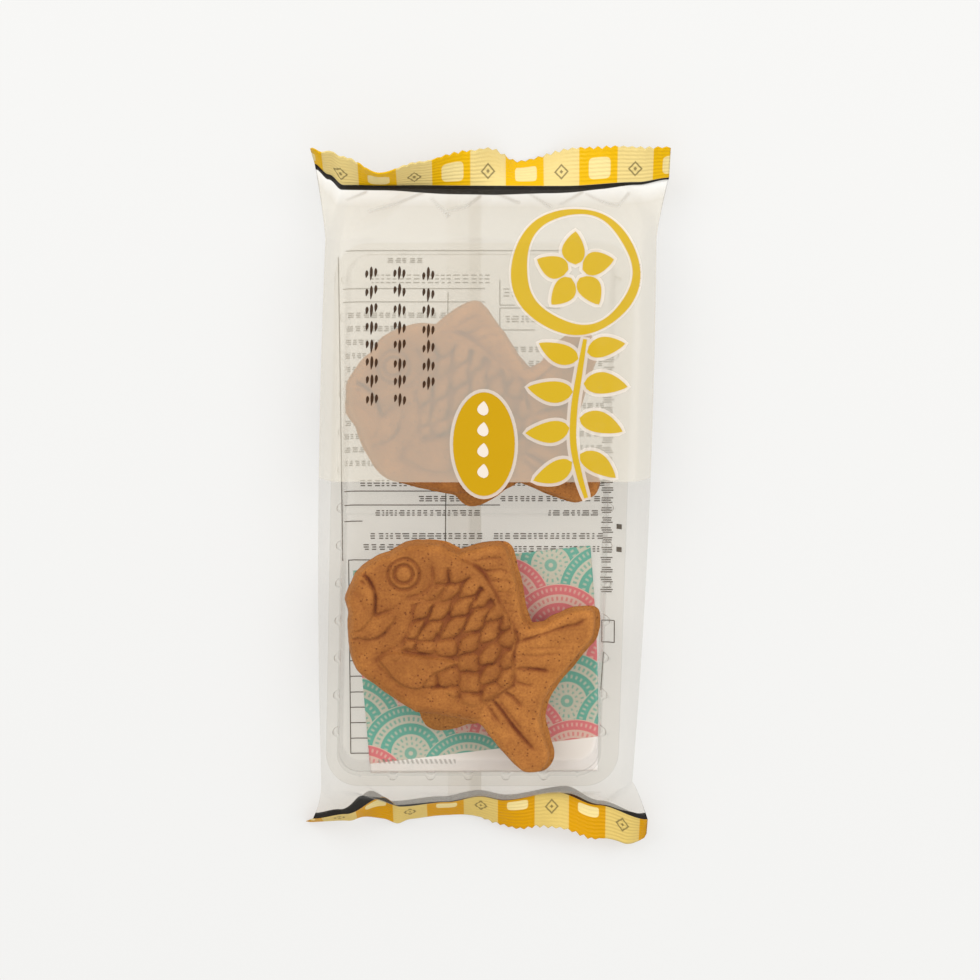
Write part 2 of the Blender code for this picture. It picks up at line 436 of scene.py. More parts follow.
# From the row behind to the row in front: each wave that covers a place takes over from the one before.
wave = None
for step in (-1, 0, 1):
    row = (down / WAVE_ROW).by("CEIL") + step
    below = row * WAVE_ROW - down
    shifted = along - row.by("FLOORED_MODULO", 2) * (WAVE_PITCH / 2)
    column = (shifted / WAVE_PITCH).by("ROUND")
    side = shifted - column * WAVE_PITCH
    reach = (side * side + below * below).by("SQRT") / WAVE_RADIUS
    pair = column + (row / 2).by("FLOOR")
    found = [reach, side.by("ARCTAN2", below), pair.by("FLOORED_MODULO", 2)]
    if wave:
        covers = reach.by("LESS_THAN", 1)
        found = [old + covers * (new - old) for new, old in zip(found, wave)]
    wave = found
reach, angle, is_pink = wave
inked = between(*WAVE_EYE, reach, 0.03) * 0.85 | WAVE_TINT
for low, high, pale_low, pale_high, pitch in WAVE_BANDS:
    pale_marks = between(pale_low, pale_high, reach, 0.03) * marks(angle, pitch, 0.42)
    inked = inked | between(low, high, reach, 0.02) - pale_marks * 0.5
for low, high, pitch, share, strength in WAVE_MARKS:
    inked = inked | between(low, high, reach, 0.03) * marks(angle, pitch, share) * strength
(x0, y0), (x1, y1) = SACHET_PRINT_ENDS
slope = (y1 - y0) / (x1 - x0)
printed = above(y0 - slope * x0, y - x * slope, 0.15)
foot_row = between(*FOOT_ROW_REACH, x, 0.1) * between(*FOOT_ROW_HEIGHT, y, 0.1) * marks(y * 0.4 + x, 1.5, 0.5)
fibre = place(tree, sheet_ripple, Scale=2400.0, Detail=2.0, Strength=0.15, Distance=0.2 * MM)
inked = inked * printed * (fibre * 0.45).by("ADD", 0.68, clamp=True) | foot_row * 0.5
ink = blend(foot_row, blend(is_pink, WAVE_GREEN, WAVE_PINK), FOOT_ROW_GREY)
colour = blend(inked, blend(printed, PAPER_WHITE, WAVE_PALE), ink)
paper = {"Base Color": colour, "Roughness": 0.55, "Normal": fibre.other("Normal")}
finish_with(put(tree, "BsdfPrincipled", paper))

u, v = np.meshgrid(np.linspace(0, 1, SACHET_COLUMNS + 1), np.linspace(1, 0, SACHET_ROWS + 1))
u, v = u[..., None], v[..., None]
corner = np.array(SACHET_CORNERS)
flat = (1 - v) * ((1 - u) * corner[0] + u * corner[1]) + v * ((1 - u) * corner[2] + u * corner[3])
flat[..., :1] += SACHET_BOW * u * np.sin(math.pi * v)
puff = np.clip(16 * u * (1 - u) * v * (1 - v), 0, 1) ** 0.3
dents = SACHET_DENTS * np.sin(5.1 * u + 9.0 * v + 1.0) * np.sin(11.0 * u - 4.0 * v) * puff
half = (SACHET_EDGE + (SACHET_THICKNESS - SACHET_EDGE) * puff) / 2
level = SACHET_FOOT + SACHET_THICKNESS / 2
over, under = (np.concatenate([flat, z], axis=2) for z in (level + half + dents, level - half))
sachet = make_piece("sachet", *slab(over, under), sachet_paper)

# The cakes
# Two fish-shaped cakes of wheat batter round a cream filling. Each is baked in a hinged iron mould, so its
# halves meet at a low seam, a little out of line, and every line of the fish is pressed into its crust.

CAKE_LENGTH = 78.7
# The fish is sketched on a sheet where the cake is this long, with the eye up and to the left.
SKETCH_LENGTH = 1420
SKETCH_MIDDLE = (770, 700)
SKETCH = CAKE_LENGTH / SKETCH_LENGTH
WALL_HEIGHT = 3.4
WALL_DRAFT = 0.45
EDGE_ROUNDING = 3.4
BODY_HEIGHT = 7.3
BODY_DOME = 0.9
DORSAL_HEIGHT = 6.3
TAIL_HEIGHT = 6.5
TAIL_FALL = 1.3
BACK_SCALE = 0.95
FRONT_SPACING = 0.32
BACK_SPACING = 0.8
# Each cake: where the sketch's middle lies, its turn in degrees, its lowest point, how far its back half is
# out of line, and how long the tail's lower lobe came out.
CAKE_PLACES = (
    ("cake_lower", (-3.6, -47.0), 0.0, 2.9, (1.3, 0.0), 1.0),
    ("cake_upper", (1.9, 26.5), 22.0, 1.25, (-0.9, 0.1), 0.8),
)
LOBE_FROM_Y = -22

BODY_OUTLINE = (
    (60, 375), (75, 330), (95, 290), (115, 240), (140, 212), (165, 188), (215, 155), (260, 130),
    (310, 115), (350, 90), (400, 62), (450, 52), (510, 50), (570, 55), (620, 68), (660, 88), (690, 103),
)
DORSAL_OUTLINE = (
    (720, 98), (780, 80), (840, 65), (900, 58), (930, 60), (955, 72), (970, 95), (985, 140), (995, 190),
    (1010, 240), (1025, 300), (1035, 360), (1045, 420), (1060, 470), (1075, 510), (1090, 520),
)
TAIL_OUTLINE = (
    (1130, 518), (1170, 512), (1200, 490), (1240, 470), (1290, 448), (1340, 432), (1390, 425),
    (1430, 430), (1455, 452), (1460, 500), (1457, 548), (1448, 588), (1430, 622), (1404, 652),
    (1370, 690), (1334, 735), (1290, 790), (1240, 850), (1200, 910), (1175, 960), (1160, 1010),
    (1155, 1060), (1165, 1110), (1180, 1170), (1195, 1220), (1205, 1260), (1200, 1300), (1180, 1340),
    (1150, 1365), (1110, 1372), (1065, 1370), (1030, 1350), (990, 1310), (950, 1265), (910, 1220),
    (870, 1170), (830, 1115), (800, 1090),
)
BELLY_OUTLINE = (
    (760, 1075), (700, 1062), (640, 1050), (560, 1035), (500, 1030), (450, 1022),
)
THROAT_OUTLINE = (
    (430, 1010), (380, 980), (330, 945), (270, 905), (220, 865), (170, 830), (130, 795), (105, 750),
    (90, 700), (80, 640), (75, 580), (75, 520), (78, 460), (68, 420),
)
BELLY_FIN_OUTLINE = (
    (770, 1094), (720, 1098), (660, 1120), (600, 1130), (545, 1132), (500, 1115), (470, 1080),
    (452, 1034),
)
DORSAL_SIDE = (
    (703, 20), (718, 153), (773, 186), (829, 232), (862, 279), (894, 334), (917, 381), (936, 418),
    (968, 469), (996, 525), (1019, 571), (1100, 545), (1140, 300), (1100, 20),
)
TAIL_SIDE = (
    (1019, 571), (1024, 608), (1015, 650), (1005, 700), (1010, 780), (1000, 870), (950, 905), (880, 955),
    (830, 975), (812, 1040), (790, 1120), (850, 1500), (1300, 1500), (1600, 1100), (1600, 380),
    (1120, 480),
)
# Raised patches: how high they stand in mm, how wide their edge is in mm, and their outlines.
RAISED = (
    (0.75, 0.9, (
        (150, 195), (172, 232), (202, 280), (224, 325), (233, 375), (232, 425), (226, 475), (195, 515),
        (150, 560), (85, 560), (20, 540), (0, 380), (40, 260), (100, 180),
    )),
    (0.55, 1.1, (
        (226, 475), (252, 480), (320, 449), (350, 460), (345, 500), (312, 542), (262, 590), (202, 613),
        (120, 603), (30, 590), (30, 540), (110, 560), (160, 555), (198, 515),
    )),
    (0.95, 0.9, (
        (248, 722), (290, 688), (340, 672), (420, 690), (500, 702), (580, 711), (640, 722), (682, 738),
        (650, 762), (600, 787), (560, 803), (515, 850), (480, 888), (400, 878), (330, 832), (288, 776),
    )),
    (0.35, 0.6, (
        (315, 700), (330, 676), (358, 676), (375, 698), (360, 722), (330, 724),
    )),
)
# Pressed lines: half their width and their depth in mm, and where they run.
PRESSED = (
    (0.5, 0.95, ((145, 214), (172, 238), (202, 283), (226, 328), (234, 376), (232, 425), (230, 468))),
    (0.6, 0.85, ((228, 446), (238, 470), (262, 464), (322, 440))),
    (0.5, 0.4, ((262, 470), (320, 446), (352, 420), (372, 400))),
    (0.6, 0.4, ((100, 318), (132, 350), (160, 415), (176, 442))),
    (0.5, 0.5, ((148, 268), (162, 280), (172, 296))),
    (0.6, 0.7, ((88, 594), (140, 606), (200, 613), (262, 590), (312, 541), (346, 496), (350, 462))),
    (0.75, 0.55, ((437, 395), (441, 450), (431, 510), (404, 588), (371, 645))),
    (0.8, 0.6, ((371, 645), (300, 676), (250, 715), (232, 742))),
    (0.7, 0.45, ((400, 383), (470, 380), (560, 395), (660, 395))),
    (0.75, 0.9, ((366, 672), (430, 683), (500, 692), (570, 700), (640, 712), (676, 720))),
    (0.6, 0.35, ((232, 742), (262, 775), (310, 815), (335, 840), (350, 870), (400, 892))),
    (0.5, 0.35, ((680, 742), (610, 790), (560, 806))),
    (0.7, 0.55, ((545, 190), (552, 235), (545, 300), (500, 345), (440, 366), (402, 376))),
    (0.7, 0.75, ((722, 155), (773, 186), (829, 232), (862, 279), (894, 334), (917, 381), (936, 418))),
    (0.7, 0.45, ((936, 418), (968, 469), (996, 525), (1019, 571))),
    (0.7, 0.9, ((1000, 545), (1019, 580), (1024, 615), (1013, 650), (1003, 700), (1008, 780))),
    (0.7, 0.6, ((1008, 780), (1000, 868), (950, 905), (885, 952), (838, 975))),
    (0.45, 0.5, ((768, 176), (850, 158), (940, 152))),
    (0.45, 0.55, ((826, 231), (900, 222), (968, 218))),
    (0.45, 0.55, ((868, 285), (930, 280), (1000, 279))),
    (0.45, 0.55, ((900, 346), (950, 346), (1005, 348))),
    (0.45, 0.5, ((938, 409), (975, 411), (1008, 411))),
    (0.4, 0.3, ((960, 462), (1030, 442))),
    (0.65, 0.75, ((1026, 628), (1100, 605), (1180, 575), (1290, 545), (1349, 533), (1400, 502))),
    (0.55, 0.3, ((1110, 665), (1190, 664), (1275, 658))),
    (0.6, 0.4, ((1008, 703), (1070, 706), (1130, 708), (1250, 694))),
    (0.7, 0.95, ((1012, 778), (1084, 782), (1140, 787), (1192, 797))),
    (0.6, 0.4, ((1005, 852), (1050, 868), (1104, 882))),
    (0.7, 0.85, ((950, 908), (1000, 946), (1052, 1008))),
    (0.7, 1.0, ((884, 960), (937, 1022), (1002, 1115), (1070, 1198), (1112, 1245))),
    (0.6, 0.5, ((925, 965), (975, 1040), (1035, 1117))),
    (0.65, 0.6, ((840, 975), (872, 1018), (922, 1090))),
    (0.5, 0.35, ((450, 1022), (560, 1020), (690, 1050), (770, 1078))),
    (0.35, 0.4, ((345, 848), (345, 872))),
    (0.4, 0.4, ((698, 915), (702, 940))),
)
EYE = (390, 240)
# Rings round the eye: how far out, half width, and height, in sketch units and mm.
EYE_RINGS = ((0, 30, 0.4), (50, 9, -0.55), (69, 10, 0.3), (88, 9, -0.48), (112, 18, 0.2))
# Scales: the middle of each, its half length and half width in sketch units, and its turn in degrees.
SCALES = (
    (597, 252, 44, 42, 0), (692, 241, 58, 46, 20), (563, 347, 50, 40, 30), (647, 340, 54, 42, 35),
    (760, 315, 64, 44, 35), (827, 379, 58, 46, 40), (493, 441, 58, 44, 60), (592, 447, 64, 44, 45),
    (717, 423, 64, 48, 45), (903, 455, 60, 42, 45), (451, 556, 62, 36, 66), (538, 561, 70, 46, 60),
    (664, 545, 74, 48, 45), (793, 498, 74, 48, 50), (869, 563, 68, 56, 40), (974, 600, 62, 48, 60),
    (420, 636, 36, 34, 0), (510, 652, 50, 36, 0), (626, 657, 60, 50, 20), (750, 637, 68, 52, 45),
    (869, 692, 66, 54, 45), (970, 728, 62, 46, 55), (749, 742, 60, 54, 0), (878, 801, 66, 52, 35),
    (962, 826, 56, 40, 50), (637, 827, 60, 50, 10), (528, 840, 44, 38, 0), (756, 855, 58, 60, 0),
    (868, 910, 54, 42, 45), (756, 958, 60, 44, 0), (960, 510, 52, 40, 45), (640, 915, 60, 38, 0),
)
SCALE_SQUARENESS = 3.0
# From this turn on, a scale is a leaning pillow, and its length and width are taken along these two slopes.
LEANING_FROM = 30
SCALE_SLOPES = (0.2, 0.5)
# The sketch is seen a little from the dorsal side: what stands higher lies further up, by this share of it.
SIGHT_SLOPE = 0.2
SCALED_AREA = (
    (560, 228), (640, 206), (705, 206), (770, 262), (860, 335), (900, 400), (960, 490), (1010, 575),
    (1005, 650), (990, 760), (985, 860), (930, 905), (860, 955), (790, 1000), (700, 960), (600, 895),
    (480, 890), (490, 812), (560, 805), (640, 765), (680, 738), (600, 712), (430, 682), (362, 655),
    (400, 590), (432, 505), (436, 400), (520, 388), (555, 300), (560, 235),
)
PORES = 280
PORES_WITHIN = (38, 36)
PORE_SIZES = (0.16, 0.42)
# The body is a low dome about this place, and the tail falls away between these two places along it.
DOME_MIDDLE = (-11.5, 7.0)
DOME_REACH = (32.0, 29.0)
TAIL_FALLS_AT = (12.0, 38.0)
SCALE_DOME = 0.65
# A pressed line is a sharp groove in a soft hollow. For each, its share of the line's depth and half width.
LINE_GROOVE = (0.75, 0.72)
LINE_HOLLOW = (0.5, 2.1)
# Between scales the two are this deep, and as wide as this share of a scale.
SCALE_GROOVE = (0.55, 0.2)
SCALE_HOLLOW = (0.6, 0.75)
# How well the mould printed: the mean, its swing and the size of the patches.
MOULD_PRINT = (0.9, 0.75, 7)
CRUST_WAVES = (0.16, 9)
# How pale the edge and walls are painted, which is partly a paler crust and partly painted light where the
# rounded edge catches it, how much of that is gone inside, and how far in.
PALE_AND_LIT_EDGE = (0.75, 0.6, 2.6)
PALE_TAIL = 0.34
PALE_DORSAL = 0.1
FLASH_WIDTH = 0.18
FLASH_WAVES = 4
CRUST_BROWN = linear(151, 92, 37)
CRUST_PALE = linear(187, 122, 56)
# Dark brown for the hollows, partly browning and partly painted shade, for painted shade in the pits, and for
# the random grain.
CRUST_DARK = linear(112, 50, 16)


def in_sketch(line):
    """Sketched places in mm about the sketch's middle, with y up the pack."""
    return (np.array(line, float) - SKETCH_MIDDLE) * (SKETCH, -SKETCH)


def spline(a, b, c, d, t):
    """A place on the smooth curve from b to c, with a before them and d after."""
    return 0.5 * (2 * b + (c - a) * t + (2 * a - 5 * b + 4 * c - d) * t**2 + (3 * b - a - 3 * c + d) * t**3)


def closed_curve(points, spacing):
    """A smooth closed curve through the points, evenly divided."""
    fours = zip(*(np.roll(np.asarray(points, float), shift, axis=0) for shift in (1, 0, -1, -2)))
    return evened(np.array([spline(*four, t) for four in fours for t in np.arange(12) / 12]), spacing)


def open_curve(points):
    """A smooth open curve through the points, in short steps."""
    points = np.asarray(points, float)
    padded = np.concatenate([2 * points[:1] - points[1:2], points, 2 * points[-1:] - points[-2:-1]])
    fours = zip(padded, padded[1:], padded[2:], padded[3:])
    return np.array([spline(*four, t) for four in fours for t in np.arange(6) / 6] + [points[-1]])


def gap_to_line(line, x, y):
    """How far each point is from an open line, and where along the line the nearest place is, from 0 to 1."""
    nearest = np.full(x.shape, np.inf)
    where = np.zeros(x.shape)
    for k, (a, b) in enumerate(zip(line, line[1:])):
        gap, along = from_edge(a, b, x, y)
        where = np.where(gap < nearest, (k + along) / (len(line) - 1), where)
        nearest = np.minimum(gap, nearest)
    return np.sqrt(nearest), where


def ramp(low, high, value):
    """A smooth rise from 0 to 1 between two bounds."""
    t = np.clip((value - low) / (high - low), 0, 1)
    return t * t * (3 - 2 * t)


def bell(distance, width):
    """1 at no distance, falling smoothly to nothing past the width."""
    return np.exp(-((distance / width) ** 2))


def unevenness(x, y, size, seed):
    """Smooth random heights from -1 to 1 with bumps of about the given size."""
    return np.array([noise.fractal((a / size, b / size, seed), 1.0, 2.0, 3) for a, b in zip(x, y)])


def outward_of(outline):
    """The outward direction at each point of a closed outline, and 1 if it runs counterclockwise, else -1."""
    tangent = np.roll(outline, -1, axis=0) - np.roll(outline, 1, axis=0)
    aside = np.stack([tangent[:, 1], -tangent[:, 0]], axis=1)
    aside /= np.maximum(np.linalg.norm(aside, axis=1), 1e-9)[:, None]
    (x, y), (next_x, next_y) = outline.T, np.roll(outline, -1, axis=0).T
    turn = np.sign(np.sum(x * next_y - next_x * y))
    return aside * turn, turn


def in_scale(x, y, middle, long, wide, turn):
    """How far out each point lies in one scale: 0 at its middle and 1 at its edge."""
    sx, sy = x - in_sketch(middle)[0], y - in_sketch(middle)[1]
    if turn < LEANING_FROM:
        c, s = math.cos(math.radians(turn)), math.sin(math.radians(turn))
        along, across = sx * c + sy * s, sy * c - sx * s
    else:
        rise, lean = SCALE_SLOPES
        along = (sy - rise * sx) / (1 - rise * lean)
        across = sx - lean * along
        long, wide = 0.88 * long, 1.08 * wide
    along = np.abs(along / long / SKETCH) ** SCALE_SQUARENESS
    across = np.abs(across / wide / SKETCH) ** SCALE_SQUARENESS
    return (along + across) ** (1 / SCALE_SQUARENESS)


def crust(x, y, depth, seed):
    """The crust over a half's flat side: its height, the dark of its hollows, partly browning and partly
    painted shade, and its paleness, partly a paler crust and partly painted light at the edges.
    """
    y = y - SIGHT_SLOPE * (BODY_HEIGHT - WALL_HEIGHT / 2) * ramp(0, EDGE_ROUNDING, depth)
    on_dorsal = ramp(-1.0, 0.9, depth_inside(in_sketch(DORSAL_SIDE), x, y))
    on_tail = ramp(-1.1, 1.1, depth_inside(in_sketch(TAIL_SIDE), x, y))
    away = ((x - DOME_MIDDLE[0]) / DOME_REACH[0]) ** 2 + ((y - DOME_MIDDLE[1]) / DOME_REACH[1]) ** 2
    level = BODY_HEIGHT + BODY_DOME * np.clip(1 - away, 0, 1)
    level += (DORSAL_HEIGHT - level) * on_dorsal
    level += (TAIL_HEIGHT - TAIL_FALL * ramp(*TAIL_FALLS_AT, x - 0.25 * y) - level) * on_tail
    relief, pressed, pores = np.zeros((3, len(x)))
    for height, edge, outline in RAISED:
        relief += height * ramp(-0.1, edge, depth_inside(closed_curve(in_sketch(outline), 0.8), x, y))
    away = np.hypot(x - in_sketch(EYE)[0], y - in_sketch(EYE)[1]) / SKETCH
    for radius, width, height in EYE_RINGS:
        ring = height * bell(away - radius, width)
        relief += np.maximum(ring, 0)
        pressed = np.maximum(pressed, -ring)
    soft = 0.5 * pressed
    wobble = 0.4 * unevenness(x, y, 3.5, seed + 5)
    reach = [in_scale(x + wobble, y - wobble, (cx, cy), *scale) for cx, cy, *scale in SCALES]
    nearest, second = np.sort(reach, axis=0)[:2]
    mean, swing, size = MOULD_PRINT
    strength = mean + swing * unevenness(x, y, size, seed + 2)
    scaled = ramp(-0.5, 0.9, depth_inside(in_sketch(SCALED_AREA), x, y))
    relief += scaled * SCALE_DOME * np.clip(1 - nearest**2.8, 0, 1)
    corner = ramp(0.88, 1.16, nearest) * ramp(0.6, 1.0, scaled)
    (groove, width), (hollow, soft_width) = SCALE_GROOVE, SCALE_HOLLOW
    sharp = np.maximum(0.8 * bell(second - nearest, width), corner)
    pressed = np.maximum(pressed, scaled * strength * groove * sharp)
    soft = np.maximum(soft, scaled * strength * hollow * bell(second - nearest, soft_width))
    (groove, width), (hollow, soft_width) = LINE_GROOVE, LINE_HOLLOW
    for half, deep, line in PRESSED:
        gap, where = gap_to_line(open_curve(in_sketch(line)), x, y)
        taper = np.clip(7 * np.minimum(where, 1 - where) + 0.35, 0, 1) * strength * deep
        pressed = np.maximum(pressed, groove * taper * bell(gap, width * half))
        soft = np.maximum(soft, hollow * taper * bell(gap, soft_width * half))
    scatter = np.random.default_rng(seed)
    across, up = (scatter.uniform(-limit, limit, PORES) for limit in PORES_WITHIN)
    for px, py, size in zip(across, up, scatter.uniform(*PORE_SIZES, PORES)):
        pores = np.maximum(pores, bell(np.hypot(x - px, y - py), size) * size / 0.5)
    inner = ramp(0.3, 1.6, depth)
    waves, size = CRUST_WAVES
    relief = inner * (relief - pressed - 0.8 * soft - 0.3 * pores) + waves * unevenness(x, y, size, seed)
    shoulder = np.sqrt(np.clip(1 - (1 - np.clip(depth / EDGE_ROUNDING, 0, 1)) ** 2, 0, 1))
    height = WALL_HEIGHT + (level - WALL_HEIGHT) * shoulder + relief * ramp(0, 0.8, depth)
    # The hollows are painted darker: partly a browner crust, partly painted shade in the grooves, the eye's
    # rings and the pores.
    browned_and_shaded = inner * np.clip(0.85 * pressed + 0.4 * soft + 0.5 * pores, 0, 1)
    pale, gone, width = PALE_AND_LIT_EDGE
    pale = pale - gone * ramp(0.0, width, depth) + PALE_TAIL * on_tail + PALE_DORSAL * on_dorsal
    return height, browned_and_shaded, np.clip(pale, 0, 1)


def cake_half(outline, spacing, side, seed):
    """One half of a cake, a closed shell over or under the flat seam: points, faces, hollows and paleness,
    which carry painted shade and painted light.
    """
    edge = closed_curve(in_sketch(outline), spacing)
    outward, turn = outward_of(edge)
    count = len(edge)
    flash = FLASH_WIDTH * (1 + unevenness(*edge.T, FLASH_WAVES, seed + 9))[:, None]
    walls = [(edge + outward * flash, -0.1), (edge, 0.35), (edge - outward * 0.12, WALL_HEIGHT * 0.45)]
    rings = [np.column_stack([ring, np.full(count, height * side)]) for ring, height in walls]
    ring = edge - outward * WALL_DRAFT
    flat, triangles = fill(ring, spacing)
    depth = np.clip(depth_inside(ring, *flat.T), 0, None)
    depth[:count] = 0
    height, hollow, pale = crust(*flat.T, depth, seed)
    height *= side if side > 0 else side * BACK_SCALE
    points = np.concatenate([*rings, np.column_stack([flat, height])])
    faces = []
    for k in range(len(rings)):
        numbers = np.arange(count) + k * count
        faces += quads(numbers, numbers + count, closed=True)
    if turn < 0:
        faces = [f[::-1] for f in faces]
    on_walls = len(rings) * count
    flat_side = joined_up(rings[0][:, :2], [edge], 1)[1]
    faces += [*(triangles + on_walls), *flat_side[:, ::-1]]
    if side < 0:
        faces = [f[::-1] for f in faces]
    # The walls are painted fully pale, partly a paler crust and partly painted light on the rounded sides.
    return points, faces, np.append(np.zeros(on_walls), hollow), np.append(np.ones(on_walls), pale)


cake_crust, tree = new_material("cake_crust")
spot = put(tree, "TexCoord", output="Object")
blotches = put(tree, "TexNoise", {"Vector": spot, "Scale": 160.0, "Detail": 4.0}, "Fac")
grain = put(tree, "TexNoise", {"Vector": spot, "Scale": 1500.0, "Detail": 3.0}, "Fac")
pits = put(tree, "TexVoronoi", {"Vector": spot, "Scale": 700.0, "Randomness": 1.0}, "Distance")
chosen = put(tree, "TexNoise", {"Vector": spot, "Scale": 260.0, "Detail": 1.0}, "Fac")
# Some tiny pits are painted dark, which is painted shade inside them. They are pressed into the bump as well.
shaded_pit = (1 - above(0.17, pits, 0.12)) * above(0.47, chosen, 0.08)
paleness = (painted(tree, "pale") + blotches * 1.7).by("SUBTRACT", 0.83, clamp=True)
# The hollows' dark is partly browning and partly painted shade.
colour = blend(painted(tree, "hollow"), blend(paleness, CRUST_BROWN, CRUST_PALE), CRUST_DARK)
colour = blend(shaded_pit * 0.75, colour, CRUST_DARK)
colour = blend(above(0.53, grain, 0.26) * 0.32, colour, CRUST_DARK)
bump = put(tree, "Bump", {"Strength": 0.7, "Distance": 0.3 * MM, "Height": grain - shaded_pit * 1.2})
baked = {"Base Color": colour, "Roughness": 0.65, "Specular IOR Level": 0.15, "Normal": bump}
finish_with(put(tree, "BsdfPrincipled", baked))

back_and_tail = BODY_OUTLINE + DORSAL_OUTLINE + TAIL_OUTLINE
front = cake_half(back_and_tail + BELLY_OUTLINE + THROAT_OUTLINE, FRONT_SPACING, 1, 3)
back = cake_half(back_and_tail + BELLY_FIN_OUTLINE + THROAT_OUTLINE, BACK_SPACING, -1, 8)
cake_faces = front[1] + [np.add(f, len(front[0])) for f in back[1]]
hollow, pale = (np.append(front[k], back[k]) for k in (2, 3))
for name, (x, y), turn, foot, shift, lobe in CAKE_PLACES:
    cake_points = np.concatenate([front[0], back[0] + (*shift, 0)])
    cake_points[:, 1] += (lobe - 1) * np.minimum(cake_points[:, 1] - LOBE_FROM_Y, 0)
    cake = make_piece(name, cake_points, cake_faces, cake_crust, {"hollow": hollow, "pale": pale})
    cake.location = (x * MM, y * MM, (foot - back[0][:, 2].min()) * MM)
    cake.rotation_euler.z = math.radians(turn)

# The film
# A clear plastic film tube, heat-sealed flat at both ends and cut with a zigzag blade. Its crimped fins are
# printed with yellow blocks and a black line inside each seal, and its upper front has a milky white layer.

BAG_HALF_WIDTH = 49.1
BAG_BULGE = 2.1
BULGE_AT_Y = 20
BULGE_REACH = 100
SIDE_HEIGHT = 10.5
FRONT_HEIGHT = 19.8
BACK_HEIGHT = 0.5
FRONT_FLAT = 0.885
BACK_FLAT = 0.80
FRONT_ROUNDING = 1.7
BACK_ROUNDING = 1.4
FULL_TOP_Y = 81.5
FULL_BOTTOM_Y = -88
# Each seal's inner edge from left (-1) to right (+1), how many degrees its fin bends up or down there, how
# wide the black line before it is, and the film's gathers: where each starts, its slant, width and height.
TOP_SEAL = {
    "side": 1,
    "full_y": FULL_TOP_Y,
    "x": (-51.3, 56.3),
    "at": (-1.0, -0.92, -0.84, 0.4, 0.82, 1.0),
    "y": (104.4, 101.2, 98.0, 97.7, 98.9, 100.2),
    "z": (10.5, 10.0, 9.5, 9.5, 9.5, 9.0),
    "bend_at": (-1.0, -0.84, -0.63, -0.4, -0.12, 0.15, 0.6, 0.8, 1.0),
    "bend": (63, 40, 70, 50, 20, -52, 6, 20, 35),
    "line_at": (-1.0, -0.84, -0.6, -0.2, 0.0, 0.3, 0.6, 0.8, 1.0),
    "line": (1.7, 1.5, 1.6, 2.6, 2.7, 2.2, 1.5, 0.9, 0.6),
    "corner_kick": -0.8,
    "flare": (1.3, 1.3),
    "gathers": (
        (-0.80, 0.35, 0.10, 1.0), (-0.38, -0.55, 0.13, 1.7), (-0.18, 0.30, 0.09, 1.1),
        (0.02, -0.25, 0.12, 1.8), (0.20, 0.45, 0.09, 1.2), (0.47, -0.40, 0.12, 1.6), (0.72, 0.30, 0.11, 1.0),
    ),
}
BOTTOM_SEAL = {
    "side": -1,
    "full_y": FULL_BOTTOM_Y,
    "x": (-53.7, 51.4),
    "at": (-1.0, -0.8, -0.58, -0.48, -0.2, 0.0, 0.14, 0.46, 0.7, 1.0),
    "y": (-99.7, -98.2, -92.8, -95.8, -94.4, -92.7, -94.1, -91.8, -96.0, -100.2),
    "z": (11.2, 11.2, 11.2, 11.2, 11.0, 10.6, 10.0, 9.2, 8.6, 10.4),
    "bend_at": (-1.0, -0.75, -0.57, -0.42, -0.18, 0.1, 0.3, 0.47, 0.62, 0.85, 1.0),
    "bend": (-70, -64, -38, -54, -54, -34, -16, 0, 0, -16, -42),
    "line_at": (-1.0, -0.75, -0.56, -0.5, -0.2, 0.45, 0.56, 0.8, 0.93, 1.0),
    "line": (1.9, 1.9, 1.9, 0.9, 0.5, 0.4, 0.9, 0.5, 1.6, 2.2),
    "corner_kick": -3.1,
    "flare": (2.2, 0.8),
    "gathers": (
        (-0.58, 0.25, 0.12, 1.6), (-0.05, -0.20, 0.12, 1.1), (0.42, 0.35, 0.13, 1.4),
        (0.72, -0.30, 0.10, 1.0),
    ),
}
KICK_FROM = 0.84
FIN_LENGTH = 11.6
FIN_GAP = 0.5
TEETH = 42
TOOTH_DEPTH = 1.0
FOOT_ROUNDING = 2.6
CRIMP_PITCH = 1.25
CRIMP_DEPTH = 0.12
GATHER_SLANT = 0.3
GATHER_SPREAD = 0.45
CLOSING_CURVE = 1.25
# Where the contents push the front out: the middle, the reach across and up, and the height.
SWELLS = ((-5, -44, 45, 40, 1.6), (-1, 29, 45, 40, 0.8))
# The slack film's waves: their height, their size and their seed.
BROAD_WAVES = (0.30, 26, 21)
FINE_WAVES = (0.05, 8, 22)
SLACKENS_AT = (-1.5, -8)
COLUMNS = 4 * TEETH
FIN_ROWS = 36
END_ROWS = 40
FULL_ROWS = 104
# The creases that run down from the top seal where the slack film gathers. In the milky part their lines are
# also painted grey, as painted shade.
CREASES = (
    ((-41.3, 93.7), (-35.8, 95.9)), ((-34.6, 90.3), (-26.5, 92.6), (-18.2, 95.9)),
    ((-15.8, 94.0), (-10.9, 89.1)), ((-10.9, 90.5), (-5.5, 91.8), (-1.2, 94.6)),
    ((1.8, 96.2), (5.5, 94.8), (10.4, 92.8)), ((14.0, 95.3), (20.1, 91.6)),
    ((23.1, 92.2), (26.0, 93.8), (29.8, 95.9)), ((31.0, 95.4), (36.0, 93.0), (40.7, 92.0)),
    ((40.7, 92.0), (43.8, 95.5)),
)
CREASE_HALF = 0.45
CREASE_DEPTH = 0.35
CREASED_WITHIN = 16
BACK_LINE = 1.2


def eased(at, values, u):
    """The values given at some places across the pack, joined by even curves."""
    at, values = np.asarray(at, float), np.asarray(values, float)
    k = np.clip(np.searchsorted(at, u) - 1, 0, len(at) - 2)
    return values[k] + (values[k + 1] - values[k]) * ramp(0, 1, (u - at[k]) / (at[k + 1] - at[k]))


